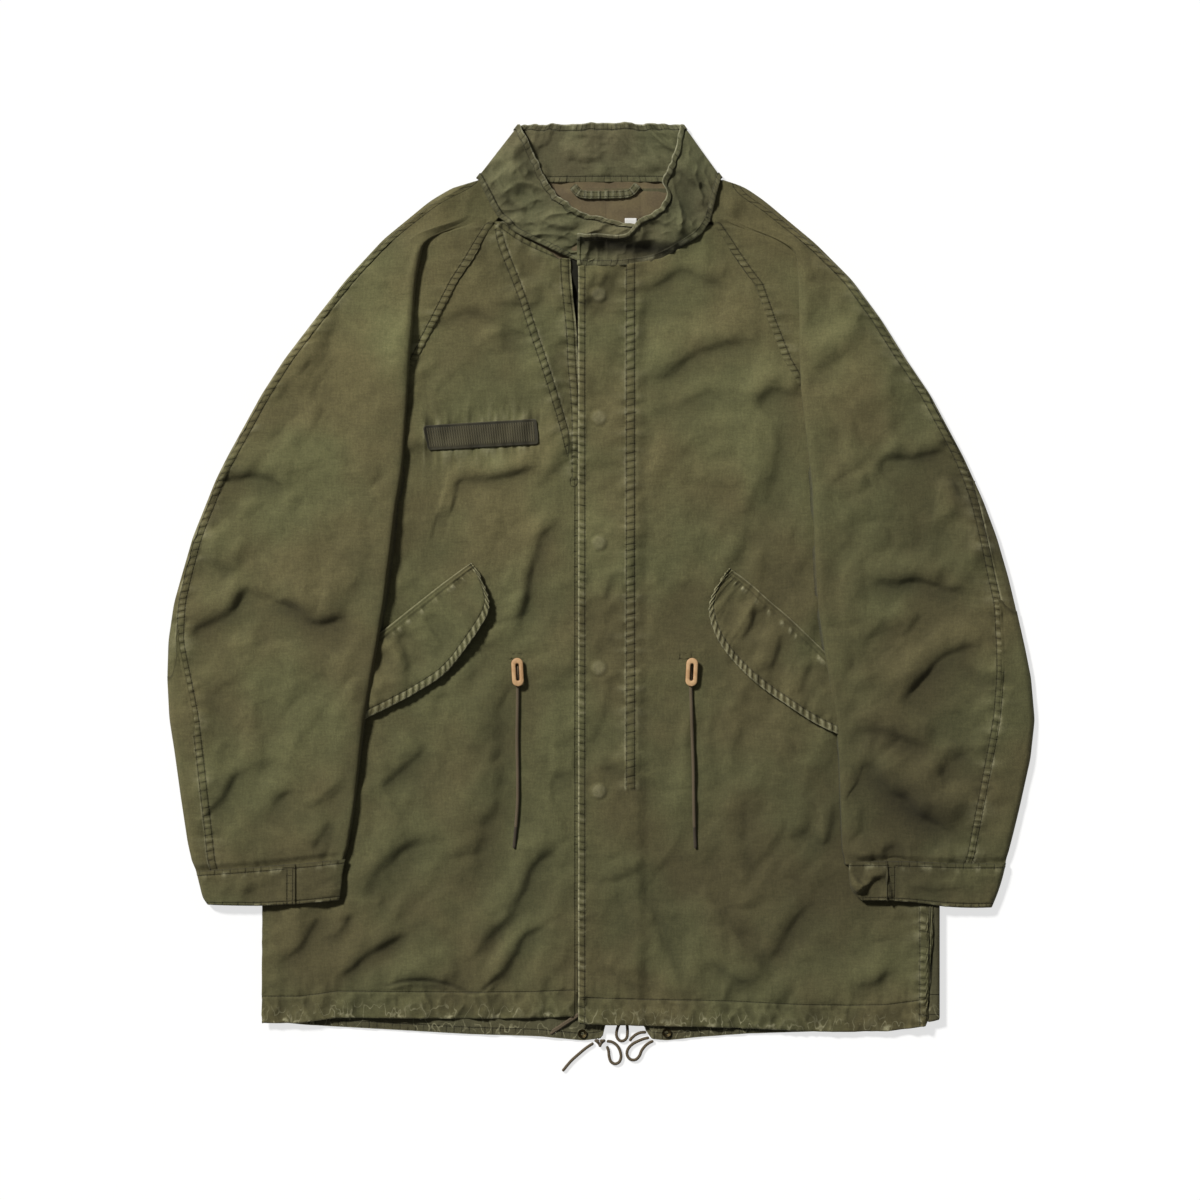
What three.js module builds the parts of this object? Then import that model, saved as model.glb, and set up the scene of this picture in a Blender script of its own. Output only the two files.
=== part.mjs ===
// A fishtail parka laid flat on its back, front up, sleeves folded over the fronts.
// Millimetres, +X to the wearer's left, +Y towards the collar, +Z up from the floor.
// "right" and "left" in the names are the wearer's own.
import * as THREE from "three";

const { lerp, smoothstep } = THREE.MathUtils;

// Driving dimensions -------------------------------------------------------------------------
const cloth = 1.5; // thickness of a panel with its seam allowances
const doubled = 2.2; // collar, two layers and interlining
const seamGap = 0.3;
const sideEdge = 325; // half the width of the body
const armpit = { a: 303, y: 98 };
const flyEdge = -21;
const flyWidth = 54;
const flyRise = 2.5; // the fly stands on the snaps below it
const waistCord = 3.3; // diameters of the drawcords
const hemCord = 3;

// Heights of the middle of each layer above the floor
const floorLevel = cloth / 2;
const rimLevel = 3.95; // top layer at the outer edge of a sleeve
const underlayLevel = 2.3;
const frontLevel = 4.0;
const overBody = 8.2; // lower layer of a sleeve where it lies on the body
const collarBackLevel = doubled / 2;
const collarLevel = 4.6;
const collarTopLevel = 7.2;

const turn = (rimLevel - floorLevel) / 2; // radius of the outer edge of a sleeve
const hook = 1.15; // radius of the turned-in cloth at a sleeve's valley
const puff = 1.95; // radius of the rolled inner edge of a sleeve

// Sections of the sleeves, from shoulder to cuff. a is the distance from the centre line.
// outer, outerY: silhouette; seam, seamY: raglan seam, and below the armpit the underarm seam;
// fold: inner rolled edge; valley: where the cloth turns back under it; raised: 0 flat, 1 full;
// hooked: 1 where the valley exists; under: height of the turned layer; strip: width of the back
// piece that shows beyond the outer seam; lift: room for the elbow patch; backY: back raglan seam.
const sleeveColumns = ["outer", "outerY", "seam", "seamY", "fold", "valley", "raised", "hooked",
  "under", "strip", "lift", "backY"];
const rightSleeve = asRows(sleeveColumns, [
  [119.5, 385.5, 100.4, 352.6, 108, 113, 0, 0, 6.3, 1, 0, 382],
  [137, 381, 104.5, 346, 118, 126, 0, 0, 6.3, 1, 0, 370],
  [163, 366, 111, 336, 140, 150, 0.15, 1, 6.3, 1, 0, 352],
  [186, 347, 119, 323, 166, 174, 1, 1, 6.3, 1, 0, 334],
  [208, 329, 127, 309, 172, 189, 1, 1, 6.3, 1, 0, 314],
  [244, 290, 139.5, 290, 178, 205, 1, 1, 6.3, 1, 0, 290],
  [274, 252, 159, 252, 181, 216, 1, 1, 6.3, 1, 0, 252],
  [303, 214, 179, 214, 184, 229, 1, 1, 6.3, 1, 0, 214],
  [325, 180, 205, 180, 186, 246, 1, 1, 6.3, 1, 0, 180],
  [358, 120, 276.4, 120, 190, 284, 1, 1, 6.3, 1, 0, 120],
  [369, 98, 303, 98, 192, 305, 1, 0, 6.3, 1, 0, 98],
  [377, 78, 303, 78, 196, 305, 1, 0, 8.2, 1, 0, 78],
  [391, 43, 284, 43, 200, 290, 1, 0, 8.2, 1, 0, 43],
  [402, 5, 250, 5, 205, 260, 1, 0, 8.2, 2, 0, 5],
  [409, -20, 226, -20, 208, 240, 1, 0, 8.2, 4, 0, -20],
  [414, -56, 227, -56, 214, 240, 1, 0, 8.2, 7, 0.6, -56],
  [415, -90, 231, -90, 220, 240, 1, 0, 8.2, 15, 1.5, -90],
  [413, -130, 238, -130, 227, 245, 1, 0, 8.2, 21, 1.5, -130],
  [402, -209, 247, -209, 236, 250, 1, 0, 8.2, 19, 1.5, -209],
  [396, -247, 252, -247, 241, 250, 1, 0, 8.2, 17, 0, -247],
  [389, -276, 255, -264.5, 244, 260, 1, 0, 8.2, 14, 0, -264.5],
]);
const leftSleeve = asRows(sleeveColumns, [
  [117, 385.5, 105.4, 350, 109, 112, 0, 0, 6.3, 1, 0, 382],
  [134, 381, 111, 343, 118, 126, 0, 0, 6.3, 1, 0, 370],
  [156, 366, 120, 330, 136, 146, 0, 0, 6.3, 1, 0, 352],
  [175, 350, 129, 316, 156, 164, 0.15, 1, 6.3, 1, 0, 334],
  [205, 325, 141, 299, 188, 194, 1, 1, 6.3, 1, 0, 314],
  [240, 290, 151, 286, 190, 204, 1, 1, 6.3, 1, 0, 290],
  [268, 252, 163, 252, 191, 212, 1, 1, 6.3, 1, 0, 252],
  [292, 214, 178, 214, 191, 223, 1, 1, 6.3, 1, 0, 214],
  [315, 180, 198, 180, 193, 240, 1, 1, 6.3, 1, 0, 180],
  [347, 120, 275.4, 120, 200, 284, 1, 1, 6.3, 1, 0, 120],
  [357, 98, 303, 98, 203, 305, 1, 0, 6.3, 2, 0, 98],
  [366, 78, 303, 78, 204, 305, 1, 0, 8.2, 4, 0, 78],
  [379, 43, 284, 43, 205, 290, 1, 0, 8.2, 9, 0, 43],
  [390, 5, 250, 5, 207, 260, 1, 0, 8.2, 12, 0.6, 5],
  [396, -20, 226, -20, 208.5, 240, 1, 0, 8.2, 12, 1.5, -20],
  [405, -60, 226, -60, 214, 240, 1, 0, 8.2, 19, 1.5, -60],
  [411.5, -90, 231, -90, 219, 240, 1, 0, 8.2, 25, 1.5, -90],
  [415, -132, 238, -132, 226, 245, 1, 0, 8.2, 32, 1.5, -132],
  [411, -170, 241, -170, 229, 250, 1, 0, 8.2, 35, 0.6, -170],
  [394, -247, 244, -247, 231.5, 250, 1, 0, 8.2, 33, 0, -247],
  [389, -268, 249, -266.5, 237, 260, 1, 0, 8.2, 32, 0, -266.5],
]);
const rightPatchRows = [16, 18]; // first and last section that an elbow patch covers
const leftPatchRows = [14, 17];
const patchColumns = [0, 7]; // from the outer seam, round the edge, to the floor

// Front panels, from hem to neck: side is the side or raglan seam, edge the front or neck edge
const bodyColumns = ["y", "side", "edge"];
const rightFront = asRows(bodyColumns, [
  [-418, -325, -26], [-395, -325, -26], [-362, -325, -26], [-315, -325, -26], [-255, -325, -26],
  [-190, -325, -26], [-125, -325, -26], [-60, -325, -26], [0, -325, -26], [50, -324, -26],
  [78, -303, -26], [98, -303, -26], [120, -276, -26], [180, -205, -25], [214, -179, -24],
  [252, -159, -25.5], [290, -139.5, -28], [309, -127, -29], [317, -122.5, -41],
  [323, -119, -54.5], [336, -111, -82.5], [346, -104.5, -93],
]);
const leftFront = asRows(bodyColumns, [
  [-425, 317, flyEdge], [-398, 317, flyEdge], [-362, 317, flyEdge], [-300, 317, flyEdge],
  [-276, 322.6, flyEdge], [-220, 323, flyEdge], [-160, 323, flyEdge], [-100, 323, flyEdge],
  [-40, 323, flyEdge], [10, 323, flyEdge], [50, 322, flyEdge], [78, 303, flyEdge],
  [98, 303, flyEdge], [120, 275, flyEdge], [180, 198, flyEdge], [214, 178, flyEdge],
  [252, 163, flyEdge], [286, 151, flyEdge], [299, 141, flyEdge], [303.4, 138, flyEdge],
  [304.2, 137.5, 23.6], [310.4, 133, 57.4], [316, 129, 68], [330, 120, 91], [343, 111, 102.5],
]);
// Bottom edges, from the wearer's right to left
const hemColumns = ["x", "y"];
const rightFrontHem = asRows(hemColumns, [
  [-325, -422], [-285, -422], [-254, -417], [-148, -418], [-76, -418], [-26, -416],
]);
const leftFrontHem = asRows(hemColumns, [
  [flyEdge, -423], [43, -425], [109, -426], [176, -429], [213, -431], [275, -430], [317, -424],
]);
const backHem = asRows(hemColumns, [
  [-325, -420], [-285, -424], [-205, -428.5], [-126, -433], [-60, -435], [-18, -439], [1, -437],
  [4, -422], [22, -412], [41, -424], [48.5, -437.5], [64, -439], [92, -436], [140, -432.5],
  [205, -430.5], [280, -428], [325, -419],
]);
const backWidth = asRows(["y", "half"], [
  [-430, 323.5], [-405, 323.5], [-362, 323.5], [-300, 323.5], [-276, 323.5], [-190, 323.5],
  [-100, 323.5], [-20, 323.5], [50, 322], [78, 303], [98, 303], [120, 279], [180, 221],
  [214, 196], [252, 173], [290, 153], [314, 142.5], [334, 133], [352, 125], [370, 117],
  [383.6, 111],
]);

// Collar: one strip from the lower wing, round the back, to the upper wing.
// sx, sy: neck seam; tx, ty: free edge; z: height
const collarStations = asRows(["sx", "sy", "tx", "ty", "z"], [
  [-28, 311.4, 26, 345, collarLevel],
  [-40, 316.8, 10, 346.5, collarLevel],
  [-54, 323.3, -12, 353, collarLevel],
  [-82, 336.3, -35, 365, collarLevel],
  [-92, 346.2, -45, 374, collarLevel],
  [-100, 353.2, -52, 384, collarLevel],
  [-109, 370, -64, 412, collarLevel],
  [-117.5, 386.5, -77, 437, 4.4],
  [-119, 388, -80, 438.5, 2.85],
  [-116, 386.5, -77, 438.5, 1.25],
  [-104, 384, -66, 439.5, collarBackLevel],
  [-54, 384.2, -36, 440, collarBackLevel],
  [0, 384.6, 0, 440, collarBackLevel],
  [57, 384.6, 40, 440, collarBackLevel],
  [104, 384.4, 66, 439.5, collarBackLevel],
  [113, 386.8, 76.5, 438.5, 1.25],
  [116, 388.5, 79.5, 438.5, 2.85],
  [114.5, 386.5, 76, 436, 4.4],
  [110.5, 372, 71, 413, collarLevel],
  [105.6, 351, 60, 387, collarLevel],
  [102, 343.3, 63, 373, 4.8],
  [91, 330.5, 58, 360, 5.4],
  [57, 311, 41, 345, 6.7],
  [23, 304.6, 22, 332.5, collarTopLevel],
  [0, 304, 0, 333, collarTopLevel],
  [-22.5, 304, -22.5, 334, collarTopLevel],
]);

// Pocket flaps: hx, hy on the hinge seam, ex, ey on the free edge
const flapColumns = ["hx", "hy", "ex", "ey"];
const rightFlap = asRows(flapColumns, [
  [-125, 18, -117, 8], [-131, 14, -109, -12], [-139, 8, -108, -27], [-151, -1, -117, -44],
  [-165, -12, -131, -64], [-184, -27, -150, -87], [-208, -46, -177, -105], [-232, -62, -205, -120],
  [-259, -83, -246, -140],
]);
const leftFlap = asRows(flapColumns, [
  [124, 13, 117, 5], [129, 9, 107, -12], [136, 4, 104, -30], [147, -5, 112, -54],
  [160, -17, 128, -76], [180, -34, 150, -97], [204, -57, 178, -117], [228, -80, 206, -135],
  [250, -98, 232, -147],
]);

// Largest folds: soft ridges from (x1, y1) to (x2, y2)
const ridges = asRows(["x1", "y1", "x2", "y2", "width", "height"], [
  [-135, 108, -62, 118, 20, 1.6],
  [-52, 78, -66, 20, 18, 1.4],
  [-215, -345, -125, -285, 26, 2.2],
  [-58, -190, -44, -250, 20, 1.5],
  [-312, -365, -262, -330, 22, 1.6],
  [60, 262, 112, 292, 20, 1.6],
  [130, -280, 158, -355, 26, 2.0],
  [215, -330, 290, -385, 26, 1.8],
  [-365, 150, -250, 60, 30, 1.4],
  [-395, -120, -290, -60, 26, 1.6],
  [-370, -230, -300, -190, 24, 1.4],
  [250, 40, 350, 0, 28, 1.6],
  [255, -170, 340, -235, 26, 1.8],
]);

// Cords: routes on the cloth or the floor, x and y by hand, free ends last
const routeColumns = ["x", "y"];
const waistRoutes = {
  right: asRows(routeColumns, [[-80, -80], [-80, -92], [-80, -112], [-80.5, -149], [-80, -182],
    [-80, -209], [-81.5, -232], [-83.5, -255]]),
  left: asRows(routeColumns, [[86, -80], [86, -92], [86.5, -112], [87.5, -145], [88.5, -175],
    [89, -209], [89.5, -232], [90.5, -255]]),
};
const floorRoutes = {
  tail_cord_right_end: asRows(routeColumns, [[-7.2, -442], [-14, -446.5], [-20.5, -451.8],
    [-29, -459.5], [-37, -469]]),
  tail_cord_right_loop: asRows(routeColumns, [[5.4, -440.2], [10.5, -441], [15, -444], [18, -449],
    [19.2, -455], [17.6, -460], [13.6, -462], [9.6, -460], [7.8, -455], [7.2, -449.5],
    [5.6, -445]]),
  tail_cord_left: asRows(routeColumns, [[50.4, -440], [46.6, -441.6], [42.6, -444.6], [39, -449.2],
    [36.8, -454.4], [33, -458], [28, -457.6], [25, -453.2], [25.8, -448], [29.5, -443.6],
    [35, -440.4], [41, -438], [46.2, -436.8]]),
  tail_cord_left_end: asRows(routeColumns, [[43.4, -431.6], [38, -432], [33, -434.2], [29, -437.8],
    [27.6, -440.2]]),
  hem_cord_loop: asRows(routeColumns, [[20.2, -414.9], [18.2, -422], [15.6, -428.5],
    [14.8, -434.5], [17, -439], [21, -440], [24.6, -437], [25.4, -431], [25, -424],
    [24.6, -415.6]]),
};
const knotRadii = { x: 5.5, y: 3.5, z: 2.6 };

// Tables and curves ------------------------------------------------------------------------------
function asRows(columns, rows) {
  return rows.map((row) => Object.fromEntries(columns.map((name, i) => [name, row[i]])));
}

function lookUp(table, from, to, value) {
  const isBetween = (row, i) => i > 0 && (row[from] - value) * (table[i - 1][from] - value) <= 0;
  const next = table.findIndex(isBetween);
  if (next < 0) {
    const near = Math.abs(value - table[0][from]) < Math.abs(value - table.at(-1)[from]);
    return near ? table[0][to] : table.at(-1)[to];
  }
  const a = table[next - 1];
  const b = table[next];
  return lerp(a[to], b[to], (value - a[from]) / (b[from] - a[from] || 1));
}

function spread(from, to, count) {
  return Array.from({ length: count }, (_, i) => lerp(from, to, i / (count - 1)));
}

function ridgeHeight(x, y) {
  let height = 0;
  for (const r of ridges) {
    const length = Math.hypot(r.x2 - r.x1, r.y2 - r.y1);
    const ux = (r.x2 - r.x1) / length;
    const uy = (r.y2 - r.y1) / length;
    const along = (x - r.x1) * ux + (y - r.y1) * uy;
    const across = (x - r.x1) * -uy + (y - r.y1) * ux;
    const beyond = Math.max(0, -along, along - length);
    height += r.height * Math.exp(-(across ** 2 + beyond ** 2) / r.width ** 2);
  }
  return height;
}

// Height of the middle of the front panels, without the fly
function frontHeight(x, y) {
  const a = Math.abs(x);
  const dip = 1.1 * (1 - smoothstep(Math.hypot(a - armpit.a, y - armpit.y), 35, 85));
  const underSleeve = y > -312 ? smoothstep(a, 165, 190) : 0;
  return frontLevel - dip + ridgeHeight(x, y) * (1 - underSleeve);
}

function flyHeight(x) {
  return flyRise * (1 - smoothstep(x, flyEdge + flyWidth, flyEdge + flyWidth + 12));
}

// At a side seam a front comes down to the back
function sideDrop(level, share) {
  return lerp(level, Math.min(level, floorLevel + cloth + seamGap + 0.1), share);
}

// Walls ------------------------------------------------------------------------------------------
function unitSum(...steps) {
  const sum = new THREE.Vector3();
  for (const step of steps) if (step.lengthSq() > 1e-12) sum.add(step.clone().normalize());
  return sum.normalize();
}

// Normals of a grid of points, turned so that the one at [row][column] points up
function gridNormals(points, row = 0, column = 0) {
  const step = (a, b) => (a && b ? b.clone().sub(a) : new THREE.Vector3());
  const normals = points.map((line, i) =>
    line.map((p, j) => {
      const along = unitSum(step(points[i - 1]?.[j], p), step(p, points[i + 1]?.[j]));
      const across = unitSum(step(line[j - 1], p), step(p, line[j + 1]));
      return along.cross(across).normalize();
    }),
  );
  if (normals[row][column].z < 0) normals.forEach((line) => line.forEach((n) => n.negate()));
  return normals;
}

function movedOut(points, distance, row, column) {
  const normals = gridNormals(points, row, column);
  return points.map((line, i) => line.map((p, j) => p.clone().addScaledVector(normals[i][j], distance)));
}

// A closed sheet of even thickness about a grid of points
function sheet(points, thickness) {
  const upper = movedOut(points, thickness / 2);
  const lower = movedOut(points, -thickness / 2);
  const rows = points.length;
  const columns = points[0].length;
  const positions = [...upper.flat(), ...lower.flat()].flatMap((p) => [p.x, p.y, p.z]);
  const top = (i, j) => i * columns + j;
  const bottom = (i, j) => rows * columns + i * columns + j;
  const index = [];
  const quad = (a, b, c, d) => index.push(a, b, c, a, c, d);
  for (let i = 0; i < rows - 1; i++) {
    for (let j = 0; j < columns - 1; j++) {
      quad(top(i, j), top(i, j + 1), top(i + 1, j + 1), top(i + 1, j));
      quad(bottom(i, j), bottom(i + 1, j), bottom(i + 1, j + 1), bottom(i, j + 1));
    }
    quad(top(i, 0), top(i + 1, 0), bottom(i + 1, 0), bottom(i, 0));
    const last = columns - 1;
    quad(top(i + 1, last), top(i, last), bottom(i, last), bottom(i + 1, last));
  }
  for (let j = 0; j < columns - 1; j++) {
    quad(top(0, j + 1), top(0, j), bottom(0, j), bottom(0, j + 1));
    quad(top(rows - 1, j), top(rows - 1, j + 1), bottom(rows - 1, j + 1), bottom(rows - 1, j));
  }
  return facingOut(positions, index);
}

function facingOut(positions, index) {
  const at = (i) => new THREE.Vector3().fromArray(positions, i * 3);
  let volume = 0;
  for (let i = 0; i < index.length; i += 3) {
    volume += at(index[i]).dot(at(index[i + 1]).cross(at(index[i + 2])));
  }
  if (volume < 0) index.reverse();
  const geometry = new THREE.BufferGeometry();
  geometry.setAttribute("position", new THREE.Float32BufferAttribute(positions, 3));
  geometry.setIndex(index);
  geometry.computeVertexNormals();
  return geometry;
}

// A strip along a line of points in plan, its width to both sides, on a height given by (x, y)
function strip(line, width, thickness, height) {
  const points = line.map((p, i) => {
    const before = line[Math.max(i - 1, 0)];
    const after = line[Math.min(i + 1, line.length - 1)];
    const length = Math.hypot(after.x - before.x, after.y - before.y);
    const nx = -(after.y - before.y) / length;
    const ny = (after.x - before.x) / length;
    return [-0.5, 0.5].map((k) => {
      const x = p.x + nx * width * k;
      const y = p.y + ny * width * k;
      return new THREE.Vector3(x, y, height(x, y));
    });
  });
  return sheet(points, thickness);
}

// Panels -----------------------------------------------------------------------------------------
function frontPoints(table, hem, columns, height) {
  const hemShare = [1, 0.75, 0.35];
  return table.map((row, i) =>
    columns.map((u) => {
      const x = lerp(row.side - (Math.sign(row.side) * seamGap) / 2, row.edge, u);
      const hemDrop = lookUp(hem, "x", "y", x) - table[0].y;
      const y = row.y + hemDrop * (hemShare[i] ?? 0);
      return new THREE.Vector3(x, y, height(x, y));
    }),
  );
}

const rightFrontPoints = frontPoints(
  rightFront,
  rightFrontHem,
  [0, 0.02, 0.12, 0.24, 0.36, 0.48, 0.6, 0.72, 0.86, 1],
  (x, y) => sideDrop(frontHeight(x, y), smoothstep(-x, 318, 324.5)),
);
const leftFrontPoints = frontPoints(
  leftFront,
  leftFrontHem,
  [0, 0.02, 0.12, 0.24, 0.36, 0.48, 0.6, 0.7, 0.8, 0.845, 1],
  (x, y) => {
    const level = frontHeight(x, y) + flyHeight(x);
    return y > -290 ? sideDrop(level, smoothstep(x, 315, 323)) : level;
  },
);

// Height of a grid of points at (x, y), on the triangles of its sheet
function heightOn(points, x, y) {
  for (let i = 0; i + 1 < points.length; i++) {
    for (let j = 0; j + 1 < points[i].length; j++) {
      const [a, b, c, d] = [points[i][j], points[i][j + 1], points[i + 1][j + 1], points[i + 1][j]];
      const z = heightInTriangle(a, b, c, x, y) ?? heightInTriangle(a, c, d, x, y);
      if (z !== null) return z;
    }
  }
  throw new Error(`no cloth at ${x}, ${y}`);
}

function heightInTriangle(a, b, c, x, y) {
  const flat = [a, b, c].map((p) => new THREE.Vector3(p.x, p.y, 0));
  const triangle = new THREE.Triangle(...flat);
  const share = new THREE.Vector3();
  triangle.getBarycoord(new THREE.Vector3(x, y, 0), share);
  const slack = -1e-6;
  if (share.x < slack || share.y < slack || share.z < slack) return null;
  return a.z * share.x + b.z * share.y + c.z * share.z;
}

function backPanel() {
  const rise = (frontLevel - floorLevel) / 2;
  const hemShare = [1, 0.8, 0.4];
  const points = backWidth.map((row, i) => {
    // On the wearer's left the back wraps round the side and lies level with the front
    const shown = 1 - smoothstep(row.y, -300, -290);
    const wrap = lerp(1, 9.3, shown);
    const bulge = Math.sin(Math.min(wrap / rise, Math.PI / 2)) * rise + lerp(0.5, 0, shown);
    const half = row.half - seamGap / 2;
    const line = backHem.map((hem) => {
      const x = hem.x < 0 ? (hem.x / sideEdge) * half : (hem.x / sideEdge) * (half - bulge);
      return new THREE.Vector3(x, row.y + (hem.y - backWidth[0].y) * (hemShare[i] ?? 0), floorLevel);
    });
    const last = line.at(-1);
    for (const s of spread(0, wrap, 6).slice(1)) {
      const angle = Math.min(s / rise, Math.PI);
      const x = last.x + Math.sin(angle) * rise - Math.max(0, s - Math.PI * rise);
      line.push(new THREE.Vector3(x, last.y, last.z + (1 - Math.cos(angle)) * rise));
    }
    return line;
  });
  return sheet(points, cloth);
}

// Sleeves ----------------------------------------------------------------------------------------
function placed(row, side, innerA, innerY, section) {
  return section.map(([a, z]) => {
    const share = (a - innerA) / (row.outer - innerA);
    return new THREE.Vector3(side * a, lerp(innerY, row.outerY, share), z);
  });
}

function sleeveFrontSection(row) {
  const seam = row.seam + (row.under > 7 ? -seamGap / 2 : seamGap);
  const edge = row.outer - turn - row.strip - (row.strip > 3 ? seamGap : 3 * seamGap);
  const rim = rimLevel + row.lift;
  const top = row.under + 2 * puff;
  const start = frontLevel + 0.5 * smoothstep(row.valley, 250, 280); // clears the front at the armpit
  const flat = spread(seam, edge, 13).map((a) => [a, lerp(frontLevel, rim, (a - seam) / (edge - seam))]);
  const hooked = [
    [seam, start],
    [(seam + row.valley - hook) / 2, start],
    [row.valley - hook, start],
    [row.valley, (start + row.under) / 2],
    [row.valley - hook, row.under],
    [(row.valley + row.fold) / 2, row.under],
    [row.fold + puff, row.under],
    [row.fold, row.under + puff],
    [row.fold + puff, top],
    [(row.fold + row.valley) / 2 + 2, lerp(top, 8.3, 0.45)],
    [row.valley + 2, 8.3],
    [Math.min(row.valley + 26, edge - 5), 5.3],
    [edge, rim],
  ];
  const inner = spread(seam, row.fold + puff, 7).map((a) => [a, row.under]);
  const unrolled = [
    ...inner,
    [row.fold, row.under + puff],
    [row.fold + puff, top],
    [lerp(row.fold, 322, 0.5), top],
    [322, top],
    [351, 4.9 + row.lift],
    [edge, rim],
  ];
  return flat.map((low, i) => {
    const high = row.hooked ? hooked[i] : unrolled[i];
    return [lerp(low[0], high[0], row.raised), lerp(low[1], high[1], row.raised)];
  });
}

function sleeveBackSection(row) {
  const edge = row.outer - turn - row.strip;
  const floor = floorLevel + row.lift;
  const rim = rimLevel + row.lift;
  const corner = turn * 0.29;
  const round = [
    [edge, rim],
    [(edge + row.outer - turn) / 2, rim],
    [row.outer - turn, rim],
    [row.outer - corner, rim - corner],
    [row.outer, (rim + floor) / 2],
    [row.outer - corner, floor + corner],
    [row.outer - turn, floor],
  ];
  if (row.under < 7) {
    const inner = lookUp(backWidth, "y", "half", row.backY) + seamGap / 2;
    return [...round, ...spread(row.outer - turn, inner, 7).slice(1).map((a) => [a, floor])];
  }
  const inner = row.seam + seamGap / 2;
  return [...round, [356, floor], [347, floor], [335, lerp(floor, overBody, 0.5)], [322, overBody],
    [(322 + inner) / 2, overBody], [inner, overBody]];
}

function sleeveFront(table, side) {
  const points = table.map((row) => {
    const line = placed(row, side, row.seam, row.seamY, sleeveFrontSection(row));
    line.forEach((p, j) => {
      if (j > 8 && j < 12) p.z += ridgeHeight(p.x, p.y) * row.raised;
    });
    return line;
  });
  return sheet(points, cloth);
}

function sleeveBackPoints(table, side) {
  const roundColumns = 7;
  return table.map((row) => {
    const line = placed(row, side, row.seam, row.seamY, sleeveBackSection(row));
    const start = line[roundColumns - 1];
    const end = line.at(-1);
    for (const p of line.slice(roundColumns)) {
      p.y = lerp(start.y, row.backY, (p.x - start.x) / (end.x - start.x));
    }
    return line;
  });
}

function elbowPatch(table, side, [firstRow, lastRow]) {
  const thickness = 1.2;
  const points = sleeveBackPoints(table, side)
    .slice(firstRow, lastRow + 1)
    .map((line) => line.slice(patchColumns[0], patchColumns[1] + 1));
  return sheet(movedOut(points, cloth / 2 + seamGap + thickness / 2), thickness);
}

// A cuff is a strip that goes round and laps over its own start at `lap`
function cuff(rows, side, lap) {
  const thickness = 1.8;
  const low = thickness / 2;
  const over = 8.35;
  const lapLevel = 13.3;
  const radius = 1.5;
  const points = rows.map(({ outer, outerY, inner, innerY }) => {
    const section = [
      [lap + 18, over + 2 * radius],
      [lerp(inner + radius, lap + 18, 0.5), over + 2 * radius],
      [inner + radius, over + 2 * radius],
      [inner, over + radius],
      [inner + radius, over],
      [lerp(inner + radius, 322, 0.5), over],
      [322, over],
      [347, low],
      [outer - 1.8, low],
      [outer, low + 1.8],
      [outer - 1.8, low + 3.6],
      [354, low + 4.4],
      [323, lapLevel],
      [lerp(lap, 323, 0.5), lapLevel],
      [lap, lapLevel],
    ];
    return placed({ outer, outerY }, side, inner, innerY, section);
  });
  return sheet(points, thickness);
}

// Small pieces -------------------------------------------------------------------------------------
function collar() {
  const points = collarStations.map((s) =>
    [0, 0.35, 0.7, 1].map((u) => new THREE.Vector3(lerp(s.sx, s.tx, u), lerp(s.sy, s.ty, u), s.z)),
  );
  return sheet(points, doubled);
}

function pocketFlap(table, front) {
  const points = table.map((row) =>
    [0, 0.3, 0.65, 1].map((u) => {
      const x = lerp(row.hx, row.ex, u);
      const y = lerp(row.hy, row.ey, u);
      return new THREE.Vector3(x, y, heightOn(front, x, y) + cloth + seamGap + lerp(0.05, 0.4, u));
    }),
  );
  return sheet(points, cloth);
}

// A rectangle sewn on a front, corners in order round it
function patchOnFront([a, b, c, d], front, thickness) {
  const lift = cloth / 2 + seamGap + thickness / 2;
  const points = spread(0, 1, 9).map((v) =>
    [0, 0.5, 1].map((u) => {
      const x = lerp(lerp(a[0], b[0], v), lerp(d[0], c[0], v), u);
      const y = lerp(lerp(a[1], b[1], v), lerp(d[1], c[1], v), u);
      return new THREE.Vector3(x, y, heightOn(front, x, y) + lift);
    }),
  );
  return sheet(points, thickness);
}

function flatRectangle(x1, y1, x2, y2, rows, columns, thickness, z) {
  const row = (y) => spread(x1, x2, columns).map((x) => new THREE.Vector3(x, y, z));
  const points = spread(y1, y2, rows).map(row);
  return sheet(points, thickness);
}

function snap(x, y, bottom, top) {
  const radius = 6.5;
  const rim = 1;
  const profile = [[0, 0], [radius, 0], [radius, rim], [radius - 1.5, top - bottom], [0, top - bottom]];
  const geometry = new THREE.LatheGeometry(profile.map(([r, h]) => new THREE.Vector2(r, h)), 20);
  return geometry.rotateX(Math.PI / 2).translate(x, y, bottom);
}

function eyelet(x, y, bottom) {
  const profile = [[1.5, 0], [4.5, 0], [4.5, 0.7], [3.6, 1.3], [2.2, 1.3], [1.5, 0.7], [1.5, 0]];
  const geometry = new THREE.LatheGeometry(profile.map(([r, h]) => new THREE.Vector2(r, h)), 20);
  return geometry.rotateX(Math.PI / 2).translate(x, y, bottom);
}

// A long rounded leather keeper with a slot, standing on the cord that it holds
function leatherKeeper(x, y, z, tilt) {
  const stadium = (length, width) => {
    const r = width / 2;
    const path = new THREE.Shape();
    path.absarc(0, length / 2 - r, r, 0, Math.PI);
    path.absarc(0, r - length / 2, r, Math.PI, 2 * Math.PI);
    return path;
  };
  const outline = stadium(27, 11);
  outline.holes.push(stadium(16, 3));
  const options = { depth: 2, bevelEnabled: false, curveSegments: 8 };
  const geometry = new THREE.ExtrudeGeometry(outline, options);
  return geometry.rotateZ(tilt).translate(x, y, z);
}

function knot(x, y) {
  const geometry = new THREE.SphereGeometry(1, 14, 10);
  return geometry.scale(knotRadii.x, knotRadii.y, knotRadii.z).translate(x, y, knotRadii.z + 0.1);
}

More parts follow.
